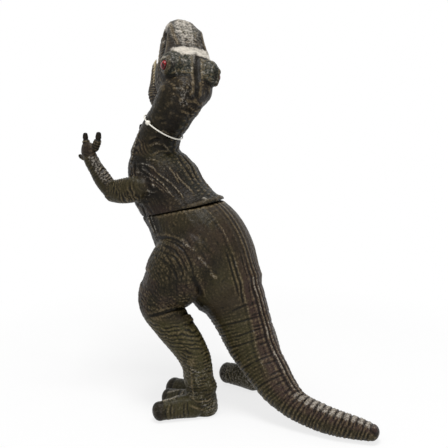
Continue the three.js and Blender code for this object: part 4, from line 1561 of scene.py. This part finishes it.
# Hips, legs and tail
@dataclass
class LowerBody:
    """The lower skin: hips, legs and feet in one, with the tail cut off it."""

    hem: tuple[float, float, float]
    hem_normal: Points
    hips: tuple = (
        (0, -103.6, 221.3, 40.4, 39.8), (0, -82.8, 197.9, 48.1, 47.7), (0, -65.1, 178.8, 51.5, 52.2),
        (0, -48.2, 155.4, 49.8, 50.1), (0, -33.5, 136.1, 44.1, 42.7),
    )
    tail: tuple = (
        (0, -41.1, 145.2, 40.5, 40), (0, -24.2, 122.4, 36.5, 36.5), (0, -12.2, 100.8, 32.4, 32),
        (2, 3.1, 74.2, 28.6, 28.2), (4.9, 17.6, 57.9, 25.2, 24.8), (8.7, 31.5, 45.7, 23, 23.3),
        (12.7, 45.6, 34.8, 20.7, 20.9), (15.7, 61.5, 25.6, 17.6, 17.6), (17.9, 76.9, 20.8, 15.8, 16),
        (17, 100.2, 16.2, 14.6, 15.6), (15.4, 121.6, 13.8, 14, 14.2), (10.3, 142.4, 11.8, 12.1, 12.1),
        (7.4, 156.5, 10.2, 10.3, 9.6),
    )
    leg: tuple = (
        (26.5, -52, 181, 26.8, 36.9), (38.5, -64.9, 162.6, 29.8, 38.6),
        (45.7, -76.5, 143.4, 29.4, 35.1), (51.7, -86.6, 120, 23.6, 27.6), (53.7, -70.4, 98, 20.2, 21.8),
        (54.1, -47.3, 77.1, 17.8, 20), (53.9, -36, 58.6, 16.1, 17.5), (53.9, -33, 41, 15.9, 17.4),
        (51.3, -30.4, 29.9, 15.8, 18.2),
    )
    right_leg_back: tuple = (-8, -2, 8, 14.5, 15.4, 15.4, 17.5, 20.9, 20)
    heel: tuple = (
        (53.1, -31.2, 27, 16.1, 17.1), (50.2, -32, 14.2, 16.2, 18.7), (48.2, -32.1, 6.4, 15.8, 18.4),
    )
    toes: tuple = (
        ((37.9, -42.5, 12.2, 12.6, 13.8), (37.4, -63.5, 12.8, 11.8, 13.2), (37, -80.4, 12.3, 11.6, 12.7)),
        ((57.3, -40.4, 13.9, 12.1, 13.6), (58.4, -58.1, 11.6, 10.5, 12), (57.8, -72.3, 10.3, 9.2, 10.7)),
        ((61.5, -33.8, 11.6, 12.9, 13.7), (78.7, -46.3, 11.9, 11.3, 12.3), (93.7, -57.6, 10.4, 9.4, 10.8)),
    )
    right_foot_back: float = 23.0
    crease_gap: float = 27.0
    tip_ring: float = 7.6
    # The lines down the back: mm from its middle, half width, height. The outer ones sway.
    back_lines: tuple = (
        (0.0, 1.3, -1.0), (3.2, 1.1, 1.2), (6.4, 1.8, -0.6), (10.5, 1.2, 0.2),
        (13.0, 1.1, -0.2), (19.5, 1.2, 0.25), (22.0, 1.1, -0.25),
    )
    # The pale streaks on them, pale paint and partly painted highlight along the lines: mm from the middle,
    # half width, paleness.
    back_streaks: tuple = ((3.2, 1.1, 0.62), (10.5, 1.0, 0.16), (19.5, 1.0, 0.26))
    sway_from: float = 10.0
    hem_from: float = 19.0
    tail_cut: tuple[float, float, float] = (4.0, 9.0, 68.0)
    tail_flex_end: tuple[float, float, float] = (7.0, 27.0, 48.0)
    body_folds: tuple = (
        Fold(10.0, 2.8, [(2, -141, 206), (22, -136, 204), (34, -124, 206)]),
        Fold(1.1, -0.9, [(26, -16, 183), (26, -11, 171), (25, -5, 150), (23, -1, 135)]),
        Fold(1.1, -0.9, [(21, -11, 177), (21, -4, 160), (20, 0, 141), (21, 3, 127)]),
        Fold(1.0, -0.8, [(11, -9, 181), (11, -3, 164), (10, 2, 147), (11, 6, 134)]),
        Fold(1.4, 1.3, [(39, -120, 219), (38, -114, 209), (41, -105, 199), (42, -99, 193)], 0.5),
        Fold(1.1, 1.0, [(41, -112, 220), (41, -107, 211), (43, -100, 202), (44, -95, 195)], 0.5),
        Fold(2.4, 1.0, [(43, -26, 171), (41, -24, 159), (38, -18, 154)], 0.35),
        Fold(1.0, -0.7, [(31, -7, 117), (22, 3, 123), (7, 10, 126)]),
        Fold(1.0, -0.7, [(30, 1, 89), (24, 12, 95), (8, 21, 98)]),
    )
    leg_folds: tuple = (
        Fold(13.0, -2.8, [(62, -101, 158), (63, -101, 149), (62, -104, 138)]),
        Fold(12.0, 2.4, [(44, -56, 108), (45, -50, 100)]),
        Fold(1.3, -1.0, [(46, -88, 190), (54, -64, 191), (55, -51, 185), (56, -42, 174), (56, -37, 160)]),
        Fold(1.1, -0.8, [(56, -76, 187), (58, -61, 184), (60, -49, 175), (61, -42, 162)]),
        Fold(1.0, -0.75, [(62, -72, 181), (62, -59, 178), (63, -51, 170), (63, -45, 159)]),
        Fold(1.0, -0.65, [(65, -73, 174), (67, -62, 170), (66, -55, 163), (66, -50, 152)]),
        Fold(1.6, -1.3, [(43, -98, 188), (48, -81, 194), (52, -66, 194), (52, -52, 190)]),
        Fold(2.4, 0.5, [(50, -60, 196), (52, -48, 189), (49, -38, 184)], 0.3),
        Fold(2.4, 0.4, [(50, -37, 180), (48, -31, 174), (43, -26, 166)], 0.28),
        Fold(3.2, -1.6, [(58, -39, 161), (53, -35, 149), (43, -36, 134), (37, -34, 123)]),
        Fold(1.6, -2.0, [(73, -85, 109), (73, -73, 113), (67, -64, 117), (55, -57, 118), (45, -60, 118)]),
        Fold(1.4, 0.6, [(68, -33, 25), (67, -27, 21), (63, -19, 21), (55, -15, 22)]),
        Fold(1.4, 0.6, [(74, -31, 17), (70, -25, 14), (61, -20, 9), (54, -14, 10)]),
        Fold(1.3, 0.8, [(92, -57, 21), (88, -53, 22), (81, -47, 23), (66, -48, 22), (59, -49, 25)], 0.6),
        Fold(1.2, 0.6, [(64, -71, 18), (62, -62, 21), (59, -52, 25)], 0.55),
        Fold(1.2, 0.6, [(69, -32, 57), (69, -31, 49), (69, -31, 38), (68, -30, 25)], 0.16),
    )

    def left_forms(self) -> dict[str, Form]:
        """Make the forms of the hips, the tail and the left leg.

        Returns:
            The forms, by name.
        """
        found = {name: Form(name, getattr(self, name)) for name in ("hips", "tail", "leg")}
        found["heel"] = Form("heel", self.heel, step=3)
        return found | {f"toe_{i}": Form(f"toe_{i}", rows, step=3) for i, rows in enumerate(self.toes)}

    def fold_leg(self, points: Points) -> Points:
        """Carry points of either leg to where they would be on the left one.

        Args:
            points: N by 3 places in mm.

        Returns:
            The carried points.
        """
        heights = [row[2] for row in self.leg]
        backs = [self.right_foot_back, *self.right_leg_back[::-1]]
        back = np.interp(points[:, 2], [6.0, *heights[::-1]], backs)
        back = np.where(points[:, 0] < 0, back, 0)
        return np.stack([np.abs(points[:, 0]), points[:, 1] - back, points[:, 2]], axis=1)

    def locate(self, points: Points) -> dict[str, Place]:
        """Say where the skin's points lie on each form.

        Args:
            points: N by 3 places in mm.

        Returns:
            Where they lie, by form.
        """
        legs = self.fold_leg(points)
        return {name: form.locate(points if name in ("hips", "tail") else legs)
                for name, form in self.left_forms().items()}

    def carve(self, relief: Relief) -> None:
        """Carve and tint the whole lower skin.

        Args:
            relief: The skin's relief.
        """
        p = relief.points
        q = to_left(p)
        legs = self.fold_leg(p)
        places = self.locate(p)
        own = shares(places)
        limb = own["leg"] + own["heel"] + own["toe_0"] + own["toe_1"] + own["toe_2"]
        zones = {name: Zone(relief, {"hips": q, "tail": p}.get(name, legs), places[name], own[name])
                 for name in own}
        self.carve_hips(zones["hips"])
        self.carve_tail(zones["tail"])
        self.carve_back(zones["hips"], zones["tail"])
        self.carve_leg(zones["leg"])
        self.carve_foot(zones)
        for fold in self.body_folds:
            relief.fold(fold, q, 1 - limb)
        for fold in self.leg_folds:
            relief.fold(fold, legs, np.clip(1.6 * limb, 0, 1))
        # The hips draw in under the hem, and lie in its shade.
        rise = (p - np.array(self.hem)) @ self.hem_normal
        relief.height -= (0.5 + ramp(p[:, 1], -72, -50)) * ramp(rise, -4, 0.5) + 0.9 * hill(rise, 0, 1.2)
        relief.tint(Tint.DARK, 0.85 * ramp(rise, -1.9, -0.4))

    def carve_hips(self, hips: Zone) -> None:
        """Wrinkle the hips and the belly.

        Args:
            hips: The hips' zone.
        """
        q, on = hips.points, hips.on
        front = ramp(on.through, 0.3, 0.7)
        crease = hill(q[:, 2], 195, 20) * ramp(on.through, 0.0, 0.3) * (1 - front)
        h = -0.6 * wrinkles(q, q @ np.array([0.1, 0.35, 0.93]), 4.6, 81) * front
        h -= 0.2 * wrinkles(q, q @ np.array([0.2, 0.85, 0.45]), 4.4, 83, 0.25) * (1 - front)
        hips.carve(h - 0.22 * cell_edges(q, 3.8, 85) - 0.9 * wrinkles(q, q[:, 2], 5.0, 87) * crease)
        shade = 0.85 * ramp(on.through, -0.1, 0.25) * (0.4 + 0.6 * patchy(q, 12, 86, -0.3, 0.2))
        hips.tint(Tint.DARK, 0.35 * crease, shade)
        hips.tint(Tint.PALE_AND_HIGHLIGHT, 0.3 * front * patchy(q, 3.0, 88, -0.1, 0.4))
        hips.tint(Tint.MAUVE, 0.4 * (1 - front) * patchy(q, 20, 89, -0.1, 0.5))
        hips.tint(Tint.OLIVE, (1 - front) * (0.3 + 0.4 * ramp(q[:, 2], 185, 145)))
        hips.ring(0.15)

    def carve_tail(self, tail: Zone) -> None:
        """Ring the tail: wide creases, a scalloped underside, close rings to the tip.

        Args:
            tail: The tail's zone.
        """
        p, on = tail.points, tail.on
        under = ramp(on.through, 0.1, 0.7)
        tip = ramp(on.share(), 0.52, 0.75)
        turns = (on.along + 5 * on.through) / self.crease_gap
        off_crease = np.abs(turns - np.round(turns)) * self.crease_gap
        h = -0.8 * hill(off_crease, 0, 1.2) * ramp(on.share(), 0.08, 0.2) * (1 - 0.6 * tip)
        h -= 0.7 * grooves(on.along / 8.2 + 0.15 * lumps(p, 12, 91), 0.14) * under * (1 - 0.5 * tip)
        wander = 0.3 * lumps(p, 13, 93) + 0.12 * lumps(p, 4, 94)
        close = grooves((on.along + 3 * on.through) / 4.1 + wander, 0.24)
        close *= (0.5 + 0.5 * patchy(p, 9, 96, -0.4, 0.2)) * ramp(off_crease, 0.5, 4)
        h -= (0.6 + 0.3 * under + 0.2 * tip) * close * (1 - 0.6 * ramp(-on.through, 0.2, 0.6) * (1 - tip))
        h -= 1.1 * grooves(on.along / self.tip_ring, 0.13) * tip * ramp(-on.through, 0.4, 0.8)
        tail.carve(h - 0.2 * cell_edges(p, 3.6, 95))
        flank = ramp(np.abs(on.across) + 0.3 * lumps(p, 14, 99), 0.1, 0.95)
        between = 1 - 0.8 * grooves(on.along / self.tip_ring, 0.16)
        end = ramp(on.ratio * on.share(), 0.96, 1.02) * ramp(on.share(), 0.985, 0.999)
        tail.tint(Tint.OLIVE, 0.8 * flank * (1 - 0.5 * tip))
        # The top of the tail towards its tip is paled between the rings as painted sheen; its end is paler
        # too.
        tail.tint(Tint.PALE_AND_HIGHLIGHT, 0.52 * tip * ramp(-on.through, 0.6, 0.9) * between, 0.36 * end)
        tail.ring(0.4 + 0.4 * tip)

    def carve_back(self, hips: Zone, tail: Zone) -> None:
        """Run the long lines from the hem down the hips and the tail.

        Args:
            hips: The hips' zone.
            tail: The tail's zone.
        """
        p, relief = tail.points, tail.relief
        across = sum(np.abs(zone.on.across) * zone.on.half * zone.own for zone in (hips, tail))
        through = sum(zone.on.through * zone.own for zone in (hips, tail))
        back = ramp(-through, 0.25, 0.6) * ramp(hips.own + tail.own, 0.4, 0.9) * ramp(p[:, 2], 30, 46)
        sway = 1.4 * lumps(p, 34, 97)
        lower = 0.35 + 0.65 * ramp(p[:, 2], 180, 140)
        broken = back * (0.55 + 0.45 * patchy(p, 6, 98, -0.3, 0.3))
        # Lines nearer the middle than hem_from fade towards the hem.
        for off, width, tall in self.back_lines:
            line = hill(across, off + (sway if off > self.sway_from else 0), width)
            relief.height += tall * line * back * (lower if off < self.hem_from else 1)
        # The streaks are pale paint and partly painted highlight.
        for off, width, pale_and_highlight in self.back_streaks:
            line = hill(across, off + (sway if off > self.sway_from else 0), width)
            relief.tint(Tint.PALE_AND_HIGHLIGHT, pale_and_highlight * line * broken * (lower if off < self.sway_from else 1))
        plates = grooves((tail.on.along + 4 * tail.on.through) / 13.0, 0.09)
        tail.carve(-0.6 * plates * ramp(across, 2, 6) * ramp(across, 20, 14) * back)
        relief.tint(Tint.MAUVE, (0.25 + 0.55 * ramp(p[:, 2], 190, 145)) * back * ramp(across, 21, 16))
        tail.tint(Tint.MAUVE, 0.85 * ramp(-tail.on.through, 0.1, 0.5) * ramp(p[:, 2], 70, 40))

    def carve_leg(self, leg: Zone) -> None:
        """Wrinkle the thigh like a net and the shin in rings.

        Args:
            leg: The leg's zone.
        """
        q = leg.points
        shin = ramp(q[:, 2], 112, 100)
        thigh = ramp(q[:, 2], 104, 116)
        arcs = np.linalg.norm((q - np.array([71.0, -80.0, 150.0])) * [0.3, 1.1, 1], axis=1)
        outer = grooves(arcs / 6.2 + 0.55 * lumps(q, 15, 101), 0.14) * patchy(q, 10, 104, -0.6, 0.1)
        h = -0.36 * outer * ramp(arcs, 17, 28) - 0.4 * cell_edges(q * [1, 1, 0.8], 3.6, 103, 0.17)
        h -= 0.22 * wrinkles(q, q @ np.array([0.2, 0.75, 0.62]), 3.4, 102, 0.24)
        h -= 0.36 * wrinkles(q, q @ np.array([0.0, 0.6, 0.8]), 4.3, 105) * ramp(q[:, 2], 150, 130)
        wander = 0.4 * lumps(q, 9, 107) + 0.2 * lumps(q, 3.5, 108)
        rings = grooves((q[:, 2] + 1.5 * np.sin(q[:, 1] / 6)) / 4.0 + wander, 0.23)
        rings *= 0.4 + 0.6 * patchy(q, 8, 110, -0.4, 0.2)
        calf = np.exp(-((q[:, 1] + 36) ** 2 / 130 + (q[:, 2] - 66) ** 2 / 60)) * ramp(q[:, 1], -40, -28)
        h = h * thigh - (0.65 * rings + 0.22 * cell_edges(q * [1, 1, 1.5], 4.2, 109)) * shin
        leg.carve(h + 1.8 * calf)
        leg.tint(Tint.OLIVE, 0.95 * shin + 0.35 * thigh)
        leg.tint(Tint.MAUVE, 0.55 * thigh * patchy(q, 16, 111, -0.1, 0.4))
        leg.tint(Tint.DARK, thigh * (0.15 + 0.4 * patchy(q, 11, 112, 0.0, 0.5)))
        ankle = 0.05 + 0.2 * ramp(q[:, 2], 85, 55)
        leg.tint(Tint.PALE_AND_HIGHLIGHT, shin * ankle * (0.6 + 0.4 * patchy(q, 5.0, 113, -0.3, 0.3)))
        leg.ring(0.3 * shin + 0.1)

    def carve_foot(self, zones: dict[str, Zone]) -> None:
        """Ring the heel and the toes, and cap each toe with a smooth claw.

        Args:
            zones: The skin's zones, by form.
        """
        heel = zones["heel"]
        q, right = heel.points, heel.relief.points[:, 0] < 0
        heel.carve(-0.6 * wrinkles(q, q[:, 2] - 0.15 * q[:, 1], 3.9, 121, 0.24))
        heel.tint(Tint.OLIVE, 0.95)
        heel.tint(Tint.PALE_AND_HIGHLIGHT, 0.19 + 0.1 * patchy(q, 5.0, 123, -0.4, 0.2))
        for toe in (zones[f"toe_{i}"] for i in range(len(self.toes))):
            on = toe.on
            claw = ramp(on.share(), 0.86, 0.97)
            h = -0.55 * wrinkles(q, on.along, 4.4, 125, 0.2) * (1 - claw) * ramp(on.share(), 0.1, 0.35)
            toe.carve(h - 0.35 * hill(on.share(), 0.9, 0.06))
            # The toes are a little pale all over and paler on top as painted highlight; the right foot's toes
            # are paler still as painted light from the floor.
            pale = 0.12 + 0.3 * ramp(-on.through, 0.75, 0.95) * (1 - claw)
            toe.tint(Tint.PALE_AND_HIGHLIGHT, pale, 0.33 * (1 + h) * right)
            toe.tint(Tint.OLIVE, 0.8 * (1 - claw))
            toe.tint(Tint.MOSS, 0.15 * claw)

    def build(self, vinyl: bpy.types.Material) -> None:
        """Model, carve, split and dress the lower skin and the tail.

        Args:
            vinyl: The skins' finish.
        """
        made = [form.model() for form in self.left_forms().values()]
        made.append(Form("right_leg", mirror(self.leg, self.right_leg_back)).model())
        made += [Form("right_foot_form", mirror(rows, self.right_foot_back), step=3).model()
                 for rows in (self.heel, *self.toes)]
        skin = fuse("hips_and_legs_skin", made)
        relax(skin, near_joins(self.locate(points_of(skin))), 12)
        relief = Relief(skin)
        self.carve(relief)
        relief.carve()
        cut_level(skin, np.array(self.hem) + 6 * self.hem_normal, -self.hem_normal)
        tail = split_off(skin, "tail_skin", self.tail_cut, self.tail_flex_end, lambda c: (
            (np.abs(c[:, 0]) < 45) & (c[:, 1] > -22) & (c[:, 2] > -c[:, 1] * 0.9 + 30 - 60 * (c[:, 1] > 25))))
        for obj in (skin, tail):
            dress(obj, vinyl)
        sides = ("left", "right")
        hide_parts("hip_skin", "hip_filling", "tail_base_skin", "tail_base_filling",
                    *(f"{s}_{n}" for s in sides for n in ("leg_skin", "leg_filling", "foot")))
        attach(skin, Body.TRUNK.value)
        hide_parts("tail_end_skin", "tail_end_filling")
        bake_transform(tail)


# Tag loop
@dataclass
class TagLoop:
    """The tag line round the neck and its lock bead, whose solids keep their shapes."""

    nodes: tuple[str, ...] = ("tag_loop", "tag_bead")

    def dress(self) -> None:
        """Give the line and the bead their finish."""
        nylon = NYLON.make()
        for name in self.nodes:
            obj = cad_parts[name]
            obj.data.materials.clear()
            obj.data.materials.append(nylon)
        log.info("tag loop dressed")


# Studio
@dataclass
class Studio:
    """A plain white sweep, a soft lamp overhead, a fill, and the camera."""

    eye: tuple[float, float, float] = (831.1, 545.3, 440.0)
    aim: tuple[float, float, float] = (33.3, -13.3, 215.0)
    lit: tuple[float, float, float] = (0.0, 0.0, 0.2)  # where the lamps look, in metres in the frame
    lens: float = 75.13
    sensor: float = 36.0
    floor_side: float = 12000.0
    floor_drop: float = 0.2
    paper_mottle: float = 60.0
    shadow_edge: tuple[float, float] = (280.0, 500.0)  # mm from the middle where the floor turns white
    near_white: float = 0.76
    room_light: float = 0.52
    # name, place in mm, side in mm, watts
    lamps: tuple = (("overhead_lamp", (120, 60, 1450), 500, 11.0), ("fill_lamp", (1000, 750, 330), 900, 3.5))

    def make_camera(self) -> None:
        """Stand the camera behind the toy's left side, a little above it."""
        camera = bpy.data.objects.new("camera", bpy.data.cameras.new("camera"))
        bpy.context.scene.collection.objects.link(camera)
        eye, aim = Vector(to_frame(self.eye)), Vector(to_frame(self.aim))
        camera.location = eye
        camera.rotation_euler = (aim - eye).to_track_quat("-Z", "Y").to_euler()
        camera.data.lens, camera.data.sensor_width = self.lens, self.sensor
        camera.data.clip_start, camera.data.clip_end = 0.01, 50
        bpy.context.scene.camera = camera

    def make_lamp(self, name: str, place: tuple[float, float, float], size: float, power: float) -> None:
        """Hang one square soft lamp that looks at the toy.

        Args:
            name: The lamp's name.
            place: Where it hangs, in mm.
            size: Its side in mm.
            power: Its power in watts.
        """
        lamp = bpy.data.objects.new(name, bpy.data.lights.new(name, "AREA"))
        bpy.context.scene.collection.objects.link(lamp)
        lamp.data.size, lamp.data.energy = size * MM, power
        lamp.location = to_frame(place)
        lamp.rotation_euler = (Vector(self.lit) - lamp.location).to_track_quat("-Z", "Y").to_euler()

    @staticmethod
    def ray_share(tree: bpy.types.NodeTree) -> Socket:
        """Tell what is seen directly from what only gets light.

        Args:
            tree: The material's nodes.

        Returns:
            1 for what the camera, a gloss or a clear body sees directly, and 0 for light.
        """
        seen = add_node(tree, "ShaderNodeLightPath", output="Is Camera Ray")
        path = seen.node
        for name in ("Is Glossy Ray", "Is Transmission Ray"):
            seen = add_node(tree, "ShaderNodeMath", {0: seen, 1: path.outputs[name]}, operation="MAXIMUM")
        return seen

    def make_floor(self) -> None:
        """Lay the pale floor: it keeps the toy's shadow, and turns plain white further off."""
        clear_selection()
        bpy.ops.mesh.primitive_plane_add(size=self.floor_side * MM, location=(0, 0, -self.floor_drop * MM))
        floor = bpy.context.object
        floor.name = "floor"
        bpy.ops.object.transform_apply(location=True)
        # Matt white paper: it scatters light evenly and shows no gloss.
        f = Finish("matt_white_paper")
        patches = add_node(f.tree, "ShaderNodeTexNoise", {
            "Vector": f.where, "Scale": 1 / (self.paper_mottle * MM), "Detail": 4,
            "Roughness": NOISE_ROUGHNESS}, "Fac")
        far = add_node(f.tree, "ShaderNodeVectorMath", {0: f.where}, "Value", operation="LENGTH")
        low, high = (edge * MM for edge in self.shadow_edge)
        fade = add_node(f.tree, "ShaderNodeMapRange", {
            "Value": far, "From Min": low, "From Max": high, "To Min": self.near_white, "To Max": 1.0},
            interpolation_type="SMOOTHSTEP")
        white = add_node(f.tree, "ShaderNodeMath", {0: fade, 1: self.ray_share(f.tree)}, operation="MULTIPLY")
        glow = add_node(f.tree, "ShaderNodeEmission", {"Color": (1, 1, 1, 1), "Strength": 1.0})
        both = add_node(f.tree, "ShaderNodeMixShader", {0: white, 1: f.shader.outputs[0], 2: glow})
        feed(f.tree.nodes["Material Output"], {"Surface": both})
        paper = f.finish(Base_Color=f.paint("#F8F8F8", (patches, "#FDFDFD")), Roughness=0.95,
                         Specular_IOR_Level=0.1)
        floor.data.materials.append(paper)

    def light_world(self) -> None:
        """Light from all round, and show white behind the toy."""
        world = bpy.data.worlds.new("white_room")
        bpy.context.scene.world = world
        world.use_nodes = True
        tree = world.node_tree
        strength = add_node(tree, "ShaderNodeMapRange", {
            "Value": self.ray_share(tree), "To Min": self.room_light, "To Max": 1.0})
        feed(tree.nodes["Background"], {"Color": (1, 1, 1, 1), "Strength": strength})

    def build(self) -> None:
        """Set up the camera, the lamps, the floor and the world."""
        bpy.context.scene.view_settings.view_transform = "Standard"
        self.make_camera()
        for lamp in self.lamps:
            self.make_lamp(*lamp)
        self.make_floor()
        self.light_world()
        log.info("studio ready")


def main() -> None:
    """Build the toy, its light and its camera, and report each piece."""
    Studio().build()
    vinyl = SoftVinyl().make()
    head = Head()
    upper = UpperBody(head)
    upper.build(vinyl)
    LowerBody(upper.hem, upper.hem_normal()).build(vinyl)
    head.build_eyes()
    head.build_teeth()
    head.build_tongue()
    TagLoop().dress()


if __name__ == "__main__":
    main()
